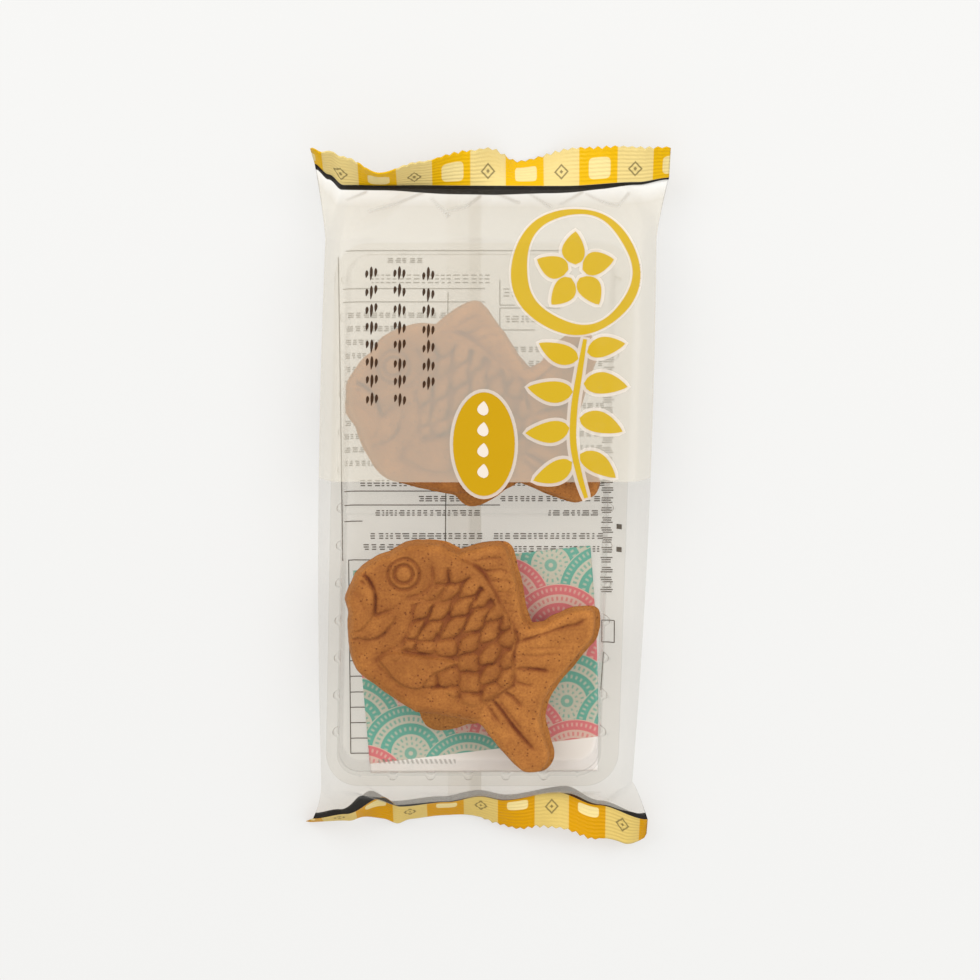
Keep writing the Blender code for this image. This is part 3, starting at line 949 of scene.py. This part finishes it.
def seal_edge(seal, u):
    """X, Y and Z of a seal's inner edge."""
    left, right = seal["x"]
    x = (left + right) / 2 + (right - left) / 2 * u
    return x, eased(seal["at"], seal["y"], u), eased(seal["at"], seal["z"], u)


def half_width(y):
    """Half the bag's width at a place up the pack."""
    return BAG_HALF_WIDTH + BAG_BULGE * (1 - ((y - BULGE_AT_Y) / BULGE_REACH) ** 2)


def back_height(across):
    """The back film's height, from the middle (0) out to either side (-1 and 1)."""
    rise = np.clip((np.abs(across) - BACK_FLAT) / (1 - BACK_FLAT), 0, 1) ** BACK_ROUNDING
    return BACK_HEIGHT + (SIDE_HEIGHT - BACK_HEIGHT) * rise


def full_loop(u, y):
    """A loop round the bag where the tray fills it: its front from left to right, and the back under it."""
    y = np.full(u.shape, y)
    across = np.sin(u * math.pi / 2)
    x = LEAN * y + half_width(y) * across
    fall = np.clip((np.abs(across) - FRONT_FLAT) / (1 - FRONT_FLAT), 0, 1) ** FRONT_ROUNDING
    swell = np.zeros(u.shape)
    for mx, my, hx, hy, height in SWELLS:
        away = ((x - mx) / hx) ** 2 + ((y - my) / hy) ** 2
        swell = np.maximum(swell, height * np.clip(1 - away * away, 0, 1))
    front = FRONT_HEIGHT - (FRONT_HEIGHT - SIDE_HEIGHT) * fall + swell * (1 - fall)
    return np.stack([x, y, front], axis=1), np.stack([x, y, back_height(across)], axis=1)


def closing_loop(u, seal, closing):
    """A loop where front and back come together. closing is 0 where the tray ends and 1 at the seal."""
    front, back = full_loop(u, seal["full_y"])
    x1, y1, z1 = seal_edge(seal, u)
    left, right = seal["flare"]
    x = front[:, 0] + (x1 - front[:, 0]) * closing ** (left + (right - left) * (u + 1) / 2)
    y = seal["full_y"] + (y1 - seal["full_y"]) * closing
    half = FIN_GAP / 2 * np.clip(40 * (1 - np.abs(u)), 0, 1)
    ridge = np.zeros(u.shape)
    for start, slant, width, height in seal["gathers"]:
        aside = np.abs(u - start - slant * GATHER_SLANT * (1 - closing))
        aside /= width * (GATHER_SPREAD + 1 - closing)
        ridge = np.maximum(ridge, height * np.clip(1 - aside, 0, None))
    ridge *= max(math.sin(math.pi * closing), 0) ** 0.7 * np.clip(20 * (1 - np.abs(u)), 0, 1)
    over = front[:, 2] + (z1 + half - front[:, 2]) * closing**CLOSING_CURVE + ridge
    under = back[:, 2] + (z1 - half - back[:, 2]) * closing**CLOSING_CURVE
    return np.stack([x, y, over], axis=1), np.stack([x, y, under], axis=1)


def fin_loop(u, seal, along):
    """A loop round a crimped fin, at a distance from its seal."""
    x, y, z = seal_edge(seal, u)
    bend = np.radians(eased(seal["bend_at"], seal["bend"], u))
    x = x + seal["corner_kick"] * along / FIN_LENGTH * ramp(KICK_FROM, 1.0, -u)
    y = y + seal["side"] * along * np.cos(bend)
    z = z + along * np.sin(bend)
    crimp = CRIMP_DEPTH * np.sin(2 * math.pi * along / CRIMP_PITCH) * np.clip(along / CRIMP_PITCH, 0, 1)
    half = FIN_GAP / 2 * np.clip(40 * (1 - np.abs(u)), 0, 1)
    lean_y, lean_z = -seal["side"] * np.sin(bend), np.cos(bend)
    return [np.stack([x, y + lean_y * off, z + lean_z * off], axis=1) for off in (crimp + half, crimp - half)]


def end_loops(seal, length):
    """The loops of one end, from where the tray ends to the fin's edge, and how far past its seal each is."""
    found = []
    for k in range(1, END_ROWS + 1):
        over, under = closing_loop(u, seal, k / END_ROWS)
        found.append((over, under, seal["side"] * (over[:, 1] - seal_edge(seal, u)[1])))
    for k in range(1, FIN_ROWS + 1):
        found.append((*fin_loop(u, seal, length * k / FIN_ROWS), length * k / FIN_ROWS))
    return found


def film_slack(x, y):
    """Soft waves that slack film has all over."""
    (broad, size, seed), (fine, fine_size, fine_seed) = BROAD_WAVES, FINE_WAVES
    return broad * unevenness(x * 0.8, y, size, seed) + fine * unevenness(x, y * 0.6, fine_size, fine_seed)


def crease_near(x, y):
    """How near each point of the film is to a crease, from 0 to 1."""
    near = np.zeros(len(x))
    for line in CREASES:
        gap, where = gap_to_line(open_curve(line), x, y)
        near = np.maximum(near, bell(gap, CREASE_HALF) * (0.5 + 0.5 * where))
    return near


u = np.linspace(-1, 1, COLUMNS + 1)
tooth = np.abs((np.arange(COLUMNS + 1) / 4) % 1 - 0.5) * 2
fin_length = FIN_LENGTH - TOOTH_DEPTH * tooth * (0.75 + 0.25 * np.sin(23 * u))
# The lower fin's edge is worn smooth but for a stretch right of its middle, and its right corner is rounded.
toothed = ramp(-0.05, 0.1, u) * ramp(0.78, 0.6, u)
worn_length = FIN_LENGTH - 0.5 * TOOTH_DEPTH
foot_length = worn_length - (worn_length - fin_length) * toothed
foot_length -= FOOT_ROUNDING * (1 - np.sqrt(1 - np.clip((u - 0.955) / 0.045, 0, 1) ** 2))
far_inside = np.full(u.shape, -20)
loops = end_loops(BOTTOM_SEAL, foot_length)[::-1]
loops += [(*full_loop(u, y), far_inside) for y in np.linspace(FULL_BOTTOM_Y, FULL_TOP_Y, FULL_ROWS + 1)]
loops += end_loops(TOP_SEAL, fin_length)

film_points = []
painted_on = []
film_rows = []
for row, (over, under, gap) in enumerate(loops):
    seal = TOP_SEAL if row > len(loops) / 2 else BOTTOM_SEAL
    x, y = over[:, 0], over[:, 1]
    crease = np.zeros(len(u))
    if gap[0] < 0:
        over[:, 2] += ramp(*SLACKENS_AT, gap) * np.clip(4 * (1 - np.abs(u)), 0, 1) * film_slack(x, y)
        if seal is TOP_SEAL and gap[0] > -CREASED_WITHIN:
            crease = crease_near(x, y)
            over[:, 2] -= CREASE_DEPTH * crease
    film_points += [over, under[1:-1]]
    line = eased(seal["line_at"], seal["line"], u)
    painted_on.append(np.broadcast_arrays(gap, x, 1, line, crease))
    painted_on.append(np.broadcast_arrays(gap[1:-1], x[1:-1], 0, BACK_LINE, 0))
    numbers = np.arange(2 * COLUMNS) + row * 2 * COLUMNS
    on_back = [numbers[0], *numbers[COLUMNS + 1 :], numbers[COLUMNS]]
    film_rows.append((numbers[: COLUMNS + 1], on_back))
film_points = np.concatenate(film_points)
painted_on = np.concatenate(painted_on, axis=1)
film_values = dict(zip(("seal_gap", "across", "front", "line_reach", "crease"), painted_on))
film_faces = []
for (low_over, low_under), (high_over, high_under) in zip(film_rows, film_rows[1:]):
    film_faces += quads(low_over, high_over) + quads(high_under, low_under)
film_faces += [tuple(dict.fromkeys(f)) for f in quads(*film_rows[0][::-1]) + quads(*film_rows[-1])]

SEAL_PALE = linear(229, 208, 138)
SEAL_ORANGE = linear(228, 182, 8)
SEAL_WINDOW = linear(234, 216, 152)
FOOT_PALE = linear(220, 194, 112)
FOOT_ORANGE = linear(213, 156, 0)
LINE_BLACK = linear(24, 21, 17)
BACK_LINE_GREY = linear(66, 70, 74)
MARK_GREY = linear(112, 98, 60)
MILKY = linear(222, 214, 196)
# Painted white where the film pleats below the top seal: partly doubled film, partly a painted highlight on
# the folds.
PLEAT_WHITE_AND_HIGHLIGHT = linear(252, 252, 250)
# Painted shade along the creases.
CREASE_SHADE_GREY = linear(186, 178, 164)
CLEAR_TINT = (0.955, 0.948, 0.933, 1)
EDGE_GREY = (0.5, 0.49, 0.47, 1)
EDGE_SHARE = 0.6
EDGE_POWER = 4.0
MILKY_FROM_Y = 8.3
# How much each layer of the print hides of what is behind it, and how much the painted white and highlight of
# the pleats and the painted shade of the creases hide.
MILKY_SHARE = 0.34
CLEAR_SHARE = 0.012
PLEAT_AND_HIGHLIGHT_SHARE = 0.06
CREASE_SHADE_SHARE = 0.55
LINE_SHARE = 0.96
BACK_LINE_SHARE = 0.8
# How much a fin hides from the eye, and how much from the light, which mostly goes on through in its colour.
FIN_SHARE = 0.84
FIN_SHADE = 0.3
BLOCK_PITCH = 22.3
BLOCK_WIDTH = 11.6
# Where the orange blocks start, at the top and at the bottom.
BLOCK_STARTS = (-38.0, -18.0)
# The pale window in each block: its middle and its half width, and both again along the fin at each end.
WINDOW_ACROSS = (6.2, 3.3)
WINDOW_TOP = (4.9, 3.3)
WINDOW_FOOT = (2.4, 1.7)
WINDOW_SQUARENESS = 5.0
# The diamond between blocks: how far along the fin it is, half its width and height, and its rings' bounds.
DIAMOND_ALONG = 4.4
DIAMOND_HALF = (2.3, 2.6)
DIAMOND_RINGS = ((0.7, 0.97), (-1, 0.25))

wrap_film, tree = new_material("wrap_film")
x, y, z = place_in_mm(tree)
gap, across, front, line_reach, crease = (painted(tree, name) for name in film_values)
at_top = above(0.0, y, 1.0)
in_block = across - (at_top * (BLOCK_STARTS[0] - BLOCK_STARTS[1]) + BLOCK_STARTS[1])
in_block = in_block.by("FLOORED_MODULO", BLOCK_PITCH)
orange = between(0.0, BLOCK_WIDTH, in_block, 0.25)
middle, half = (at_top * (top - foot) + foot for top, foot in zip(WINDOW_TOP, WINDOW_FOOT))
ways = ((in_block - WINDOW_ACROSS[0]) / WINDOW_ACROSS[1], (gap - middle) / half)
aside, along_fin = (way.by("ABSOLUTE").by("POWER", WINDOW_SQUARENESS) for way in ways)
window = 1 - above(1.0, aside + along_fin, 0.25)
mark_x = (in_block - (BLOCK_PITCH + BLOCK_WIDTH) / 2).by("ABSOLUTE") / DIAMOND_HALF[0]
mark = mark_x + (gap - DIAMOND_ALONG).by("ABSOLUTE") / DIAMOND_HALF[1]
ring, core = (between(*bounds, mark, 0.12) for bounds in DIAMOND_RINGS)
fin_colour = blend(orange, blend(at_top, FOOT_PALE, SEAL_PALE), blend(at_top, FOOT_ORANGE, SEAL_ORANGE))
fin_colour = blend(window, fin_colour, SEAL_WINDOW)
fin_colour = blend((ring + core) * 0.8, fin_colour, MARK_GREY)
on_fin = above(0.0, gap, 0.1)
black = above(0.0, gap + line_reach, 0.15).by("SUBTRACT", on_fin, clamp=True)
black = black * ((1 - front) * BACK_LINE_SHARE + front)
milky = above(MILKY_FROM_Y, y, 0.2) * front
# Whiter near the top seal: partly the pleated film doubling up, partly a painted highlight on its folds.
pleated_and_highlit = above(-4.0, gap, 4.5) * milky
# The creases are painted grey in the milky part: painted shade along them.
crease_shade = crease * milky
colour = blend(crease_shade, blend(pleated_and_highlit, MILKY, PLEAT_WHITE_AND_HIGHLIGHT), CREASE_SHADE_GREY)
colour = blend(on_fin, colour, fin_colour)
colour = blend(black, colour, blend(front, BACK_LINE_GREY, LINE_BLACK))
fin_cover = put(tree, "LightPath", output="Is Camera Ray") * (FIN_SHARE - FIN_SHADE) + FIN_SHADE
cover = milky * MILKY_SHARE + CLEAR_SHARE + pleated_and_highlit * PLEAT_AND_HIGHLIGHT_SHARE
cover = cover | crease_shade * CREASE_SHADE_SHARE | on_fin * fin_cover | black * LINE_SHARE
bump = place(tree, sheet_ripple, Scale=60.0, Detail=3.0, Strength=0.12, Distance=0.8 * MM).other("Normal")
edge = edge_on(tree, bump, EDGE_SHARE, EDGE_POWER)
gloss = put(tree, "BsdfPrincipled", {"Base Color": EDGE_GREY, "Roughness": 0.12, "Normal": bump})
clear = put(tree, "BsdfTransparent", {"Color": blend(on_fin, CLEAR_TINT, fin_colour)})
bare = put(tree, "MixShader", {0: edge, 1: clear, 2: gloss})
printed = {"Base Color": colour, "Roughness": 0.25, "Specular IOR Level": 0.12, "Normal": bump}
finish_with(put(tree, "MixShader", {0: cover, 1: bare, 2: put(tree, "BsdfPrincipled", printed)}))
film = make_piece("film", film_points, film_faces, wrap_film, film_values)
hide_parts("pack")

# The back seam
# The film's two long edges are sealed to each other down the middle of the back, and the seam is folded flat
# to the left. It is the same film, doubled, with fine crimps across it.

SEAM_X = (-11.4, -0.9)
SEAM_DROP = 0.12
SEAM_CRIMP = 0.04
SEAM_THICKNESS = 0.25
SEAM_COLUMNS = 6
SEAM_TINT = (0.978, 0.973, 0.966, 1)
FOLD_TINT = (0.935, 0.925, 0.91, 1)
FOLD_FROM_X = -4.6

seam_loops = [closing_loop(u, BOTTOM_SEAL, k / END_ROWS) for k in range(END_ROWS, 0, -1)]
seam_loops += [full_loop(u, y) for y in np.linspace(FULL_BOTTOM_Y, FULL_TOP_Y, FULL_ROWS * 2 + 1)]
seam_loops += [closing_loop(u, TOP_SEAL, k / END_ROWS) for k in range(1, END_ROWS + 1)]
steps = np.linspace(*SEAM_X, SEAM_COLUMNS + 1)
rows = [[np.interp(steps, back[:, 0], way) for way in back.T] for _, back in seam_loops]
over = np.array(rows).transpose(0, 2, 1)
over[..., 2] -= SEAM_DROP + SEAM_CRIMP * (np.arange(len(over)) % 2)[:, None]
seam_film, tree = new_material("seam_film")
folded = above(FOLD_FROM_X, place_in_mm(tree)[0], 1.0)
finish_with(put(tree, "BsdfTransparent", {"Color": blend(folded, SEAM_TINT, FOLD_TINT)}))
seam = make_piece("back_seam", *slab(over, over - (0, 0, SEAM_THICKNESS)), seam_film)

# The front print
# Printed on the film over the milky layer: a brushed yellow ring with a blossom in it, a sprig of leaves that
# hangs from it, a yellow oval beside that, and three columns of small brown dashes. Pale ink rims the yellow.

INK_LIFT = 0.08
PRINT_SPACING = 0.9
OVER_PACK = 50
PALE_RIM = 1.0
RING_RIM = 0.6
RING_MIDDLE = np.array((27.6, 72.3))
RING_OUTER = 19.2
RING_INNER = 16.2
RING_INNER_SHIFT = (1.0, 0.8)
# The petals lie between these two distances from the ring's middle.
PETAL_FROM = 2.2
PETAL_TO = 12.2
PETAL_WIDTH = 6.9
STEM = ((30.6, 52.0), (29.0, 42.0), (27.4, 31.0), (27.2, 20.0), (29.2, 10.0), (31.2, 3.4))
STEM_WIDTH = 2.0
# The leaves on the stem, from root to tip, and their widths.
LEAVES = (
    ((31.2, 48.0), (42.8, 50.6), 6.0), ((28.6, 46.0), (16.6, 50.8), 6.2), ((30.2, 38.5), (43.6, 37.5), 6.6),
    ((27.0, 36.0), (13.2, 37.4), 6.6), ((29.0, 28.0), (42.2, 23.8), 6.6), ((26.0, 25.0), (12.6, 23.4), 6.6),
    ((29.2, 17.0), (40.2, 9.6), 6.2), ((26.8, 14.5), (15.0, 8.8), 6.4),
)
OVAL_MIDDLE = (0.0, 20.0)
OVAL_HALF = (9.4, 15.9)
# The drops on the oval: where the first one's root is, their length, width and pitch, and how many.
DROPS_FROM_Y = 28.8
DROP_LENGTH = 4.4
DROP_WIDTH = 3.4
DROP_PITCH = 6.4
DROPS = 4
# Three columns of dashes: their middle, their top and how many groups of three each has.
DASH_COLUMNS = ((-33.9, 74.2, 8), (-25.4, 74.2, 8), (-16.7, 73.6, 7))
DASH_PITCH = 5.45
# Each dash of a group: how far aside it is, and how far down it starts and ends.
DASH_GROUP = ((-1.35, 1.0, 3.4), (0.0, 0.2, 4.5), (1.35, 0.8, 3.6))
DASH_LEAN = 0.3
DASH_WIDTH = 0.95
PRINT_YELLOW = linear(198, 163, 24)
OVAL_YELLOW = linear(187, 145, 2)
PRINT_WHITE = linear(224, 213, 200)
PRINT_BROWN = linear(56, 38, 24)

front_faces = [f for f in film_faces if min(film_values["front"][list(f)]) == 1]
film_front = BVHTree.FromPolygons([Vector(p) for p in film_points], front_faces)


def on_front(flat, lift):
    """Places over the pack, laid down on the film's front."""
    hits = [film_front.ray_cast(Vector((*place, OVER_PACK)), Vector((0, 0, -1)))[0] for place in flat]
    return np.column_stack([flat, [hit.z + lift for hit in hits]])


def leaf(root, tip, width):
    """A closed leaf from its root to its tip, broadest a third of the way up."""
    root, run = np.array(root, float), np.subtract(tip, root)
    aside = np.array([-run[1], run[0]]) / np.linalg.norm(run)
    steps = np.linspace(0, 1, 14)[:, None]
    swell = np.sin(math.pi * steps**0.75) ** 0.8 * width / 2
    bend = 0.10 * width * np.sin(math.pi * steps)
    left, right = (root + run * steps + aside * (bend + side) for side in (swell, -swell))
    return np.concatenate([left, right[-2:0:-1]])


def brush_line(points, width):
    """A closed stroke along a smooth line, a little thinner at its ends."""
    line = open_curve(points)
    along = np.gradient(line, axis=0)
    aside = np.stack([-along[:, 1], along[:, 0]], axis=1) / np.linalg.norm(along, axis=1)[:, None]
    share = np.clip(np.linspace(0, 1, len(line)), 0.02, 0.98)
    half = width / 2 * (0.45 + 0.55 * np.sin(math.pi * share) ** 0.5)[:, None]
    return np.concatenate([line + aside * half, (line - aside * half)[::-1]])


def brush_circle(radius, swing, phase, shift=(0, 0)):
    """A closed circle about the ring's middle, as uneven as a brush leaves it."""
    angle = np.arange(120) / 120 * 2 * math.pi
    reach = radius + swing * (np.cos(2 * angle + phase) + 0.6 * np.cos(5 * angle + 3 * phase))
    return RING_MIDDLE + shift + reach[:, None] * np.stack([np.cos(angle), np.sin(angle)], axis=1)


def widened(outline, extra):
    """An outline moved outward."""
    return outline + outward_of(outline)[0] * extra


def ink(name, colour, cover):
    """A printing ink that lets a little of what is under it through."""
    material, tree = new_material(name)
    look = {"Base Color": colour, "Roughness": 0.3, "Alpha": cover, "Specular IOR Level": 0.08}
    finish_with(put(tree, "BsdfPrincipled", look))
    return material


def print_shapes(name, shapes, lift, material):
    """One printed piece on the film's front, from closed outlines that each come with the holes in them."""
    points, faces, start = [], [], 0
    for outline, *holes in shapes:
        flat, triangles = fill(outline, PRINT_SPACING, holes)
        points.append(on_front(flat, lift))
        faces += list(triangles + start)
        start += len(flat)
    piece = make_piece(name, np.concatenate(points), faces, material)


ring_outer = brush_circle(RING_OUTER, 0.35, 0.4)
ring_inner = brush_circle(RING_INNER, 0.55, 2.2, RING_INNER_SHIFT)
blossom = []
for angle in math.pi / 2 + 2 * math.pi * np.arange(5) / 5:
    heading = np.array([math.cos(angle), math.sin(angle)])
    blossom.append(leaf(RING_MIDDLE + PETAL_FROM * heading, RING_MIDDLE + PETAL_TO * heading, PETAL_WIDTH))
sprig = [brush_line(STEM, STEM_WIDTH), *(leaf(*blade) for blade in LEAVES)]
angle = np.arange(48) / 48 * 2 * math.pi
oval = np.stack([np.cos(angle), np.sin(angle)], axis=1) * OVAL_HALF + OVAL_MIDDLE
drops = []
for y in DROPS_FROM_Y - DROP_PITCH * np.arange(DROPS):
    drops.append([leaf((0.0, y), (0.0, y + DROP_LENGTH), DROP_WIDTH)])
draw = np.random.default_rng(11)
dashes = []
for middle, top, groups in DASH_COLUMNS:
    for at in top - DASH_PITCH * np.arange(groups):
        for aside, low, high in DASH_GROUP:
            root = np.array([middle + aside, at - low + draw.uniform(-0.5, 0.5)])
            dashes.append([leaf(root, root - (DASH_LEAN, high - low), DASH_WIDTH)])
yellow = [[ring_outer, ring_inner], *([shape] for shape in blossom + sprig)]
rims = [[widened(ring_outer, PALE_RIM * RING_RIM), widened(ring_inner, -PALE_RIM * RING_RIM)]]
rims += [[widened(shape, PALE_RIM)] for shape in [*blossom, *sprig, oval]]
print_shapes("print_rims", rims, INK_LIFT, ink("white_ink", PRINT_WHITE, 0.62))
print_shapes("print_yellow", yellow, 2 * INK_LIFT, ink("yellow_ink", PRINT_YELLOW, 0.88))
print_shapes("print_oval", [[oval]], 2 * INK_LIFT, ink("oval_ink", OVAL_YELLOW, 0.95))
print_shapes("print_oval_marks", drops, 3 * INK_LIFT, ink("pale_ink", PRINT_WHITE, 0.9))
print_shapes("print_dashes", dashes, INK_LIFT, ink("brown_ink", PRINT_BROWN, 0.95))

# The back print
# The maker's panel, printed on the back film and seen faintly from its blank side through the front: ruled
# boxes and rows of small grey dashes where words would stand.

BACK_GREY = linear(84, 74, 62)
RULE_WIDTH = 0.32
DASH_HEIGHT = 0.36
# How long each word's dashes are, how far they are set in at the left, and the gaps between words.
DASH_LENGTHS = (0.8, 2.4)
DASH_INSETS = (0, 0.35)
DASH_GAPS = (0.3, 0.7)
# A row's dashes lie in three lines, this share of its height apart.
LINE_SPREAD = 0.36
DOT_WIDTH = 1.6
# Rules: from x and y to x and y.
RULES = [
    (-42.4, 77.5, 36.0, 77.5), (-43.3, 65.8, 0.3, 65.8), (-43.3, 61.7, 0.3, 61.7), (-43.5, 2.6, -1.0, 2.6),
    (-43.5, -1.8, 5.0, -1.8), (-43.5, -6.9, -38.0, -6.9), (-42.5, -19.2, -1.0, -19.2),
    (-11.1, 64.8, -12.2, -19.2), (-44.6, 75.8, -44.2, -19.2), (-42.4, -19.2, -42.2, -81.3),
    (37.6, -48.6, 36.8, -60.9), (37.0, -38.4, 40.9, -38.4), (40.9, -38.4, 40.9, -45.4),
    (40.9, -45.4, 37.0, -45.4), (37.0, -45.4, 37.0, -38.4), (4.9, 68.5, 4.9, 60.7), (4.9, 60.7, 9.6, 60.7),
    (4.9, 59.8, 23.5, 59.8), (4.9, 59.8, 4.9, 53.0), (4.9, 53.0, 15.8, 53.0),
]
RULES += [(-42.2, y, -33.0, y) for y in (-51.4, -56.4, -61.5, -66.4, -71.4, -76.4, -81.3)]
# Rows of dashes: from x to x, at y, and their height. Both long blocks have their rows at an even pitch.
LEFT_BLOCK = (
    (-42.5, -14), (-42.5, -18), (-42.6, -22), (-42.8, -14), (-42.8, -20), (-43, -16), (-43, -22),
    (-43.2, -15), (-43.2, -19), (-43.4, -16), (-43.4, -21), (-43.4, -14),
)
ROWS = [
    (-34.9, 0.3, 68.8, 3.2), (-30.0, -20.0, 74.5, 1.5),
    *((x0, x1, 57.6 - 4.2 * k, 1.7) for k, (x0, x1) in enumerate(LEFT_BLOCK)),
    (-39.0, -14.5, 5.1, 2.2), (-20.5, -13.4, 0.2, 1.9), (-11.0, -4.0, 0.2, 1.9), (-34.0, -1.0, -4.3, 1.9),
    (-36.0, -2.0, -11.6, 2.0), (-38.0, -2.0, -15.1, 2.0), (1.2, 36.2, 47.0, 1.7),
    *((1.2, 36.0, 42.6 - 4.4 * k, 1.7) for k in range(7)),
    (1.2, 36.0, 11.6, 1.7), (1.2, 36.2, 5.1, 1.8), (5.0, 34.0, 0.2, 1.8), (20.0, 35.0, -4.3, 1.8),
    (2.5, 36.0, -11.6, 2.0), (2.0, 36.0, -15.7, 2.0), (6.0, 9.0, 64.6, 3.0), (6.5, 15.0, 56.4, 2.2),
    (-34.0, 8.0, -84.4, 1.6),
]
# The narrow column at the right: from x to x, and the y of each group of three short dashes.
NARROW_COLUMN = (36.4, 40.4)
NARROW_PLACES = 47.0 - 3.15 * np.arange(25)
NARROW_SPREAD = 0.7
NARROW_INSETS = (0, 0.8)
DOTS = ((42.2, -8.5), (42.2, -15.7))


def bar(x0, y0, x1, y1, width):
    """A straight bar of rungs from side to side, close enough that it can follow the film."""
    start, run = np.array([x0, y0]), np.array([x1 - x0, y1 - y0])
    length = np.linalg.norm(run)
    aside = np.array([-run[1], run[0]]) / length * width / 2
    steps = np.linspace(0, 1, max(1, math.ceil(length / 2.0)) + 1)[:, None]
    return np.stack([start + run * steps + aside, start + run * steps - aside], axis=1)


back_bars = [bar(*rule, RULE_WIDTH) for rule in RULES]
for at, end, y, height in ROWS:
    while at < end:
        length = draw.uniform(*DASH_LENGTHS)
        for level in (y - LINE_SPREAD * height, y, y + LINE_SPREAD * height):
            inset = draw.uniform(*DASH_INSETS) * length
            back_bars.append(bar(at + inset, level, at + length, level, DASH_HEIGHT))
        at += length + draw.uniform(*DASH_GAPS)
x0, x1 = NARROW_COLUMN
for y in NARROW_PLACES:
    for level in (y - NARROW_SPREAD, y, y + NARROW_SPREAD):
        left = x0 + draw.uniform(*NARROW_INSETS)
        back_bars.append(bar(left, level, x1 - draw.uniform(*NARROW_INSETS), level, DASH_HEIGHT))
back_bars += [bar(x - DOT_WIDTH / 2, y, x + DOT_WIDTH / 2, y, DOT_WIDTH) for x, y in DOTS]
back_faces = []
start = 0
for rungs in back_bars:
    numbers = np.arange(2 * len(rungs)) + start
    back_faces += quads(numbers[1::2], numbers[::2])
    start += len(numbers)
x, y = np.concatenate(back_bars).reshape(-1, 2).T
z = back_height((x - LEAN * y) / half_width(y)) + INK_LIFT
grey_ink = ink("grey_ink", BACK_GREY, 0.9)
back_print = make_piece("print_back", np.column_stack([x, y, z]), back_faces, grey_ink, smooth=False)

# The floor, the light and the camera
# The pack lies on its back on a plain pale floor that glows a little from below, as a lit table does, under
# broad soft light, and is seen from almost straight above.

FLOOR_HALF = 1.5
FLOOR_COLOUR = (0.30, 0.298, 0.293, 1)
FLOOR_GLOW = (0.50, 0.50, 0.492, 1)
# How bright the room is all round and overhead.
ROOM_SIDES = 0.72
ROOM_OVERHEAD = 1.5
# Each softbox: where it is, how big, how strong.
SOFTBOXES = (("softbox_left", (-0.9, 0.9, 1.05), 0.9, 11.0), ("softbox_right", (0.9, 0.5, 1.0), 0.8, 7.5))
CAMERA_TILT = math.radians(8.5)
CAMERA_DISTANCE = 0.85
CAMERA_TARGET = (1.85 * MM, 4.35 * MM, 10 * MM)
PHOTO_WIDTH = 980
FOCAL_LENGTH_IN_PIXELS = 2754

floor_paint, tree = new_material("floor_paint")
glowing = {
    "Base Color": FLOOR_COLOUR, "Roughness": 0.9, "Specular IOR Level": 0.1,
    "Emission Color": FLOOR_GLOW, "Emission Strength": 1.0,
}
finish_with(put(tree, "BsdfPrincipled", glowing))
floor_mesh = bpy.data.meshes.new("floor")
corners = [(x * FLOOR_HALF, y * FLOOR_HALF, 0) for x, y in ((-1, -1), (1, -1), (1, 1), (-1, 1))]
floor_mesh.from_pydata(corners, [], [(0, 1, 2, 3)])
floor_mesh.materials.append(floor_paint)
floor = bpy.data.objects.new("floor", floor_mesh)
bpy.context.scene.collection.objects.link(floor)

world = bpy.data.worlds.new("soft_room")
world.use_nodes = True
tree = world.node_tree
heading = put(tree, "SeparateXYZ", {0: put(tree, "TexCoord", output="Generated")}, "Z")
strength = above(0.86, heading, 0.2) * (ROOM_OVERHEAD - ROOM_SIDES) + ROOM_SIDES
room = tree.nodes["Background"].inputs
tree.links.new(strength.socket, room["Strength"])
room["Color"].default_value = (1.0, 1.0, 1.0, 1)
bpy.context.scene.world = world
for name, spot, size, power in SOFTBOXES:
    lamp = bpy.data.lights.new(name, "AREA")
    lamp.shape = "SQUARE"
    lamp.size = size
    lamp.energy = power
    box = bpy.data.objects.new(name, lamp)
    box.location = spot
    box.rotation_euler = (-Vector(spot)).to_track_quat("-Z", "Y").to_euler()
    bpy.context.scene.collection.objects.link(box)

camera_data = bpy.data.cameras.new("camera")
camera_data.sensor_width = 36.0
camera_data.lens = FOCAL_LENGTH_IN_PIXELS / PHOTO_WIDTH * camera_data.sensor_width
camera_data.clip_end = 10.0
camera = bpy.data.objects.new("camera", camera_data)
away = Vector((0, math.sin(CAMERA_TILT), math.cos(CAMERA_TILT)))
camera.location = Vector(CAMERA_TARGET) + CAMERA_DISTANCE * away
camera.rotation_euler = (-CAMERA_TILT, 0, 0)
bpy.context.scene.collection.objects.link(camera)
bpy.context.scene.camera = camera
bpy.context.scene.view_settings.view_transform = "Standard"
bpy.context.scene.cycles.transparent_max_bounces = 24
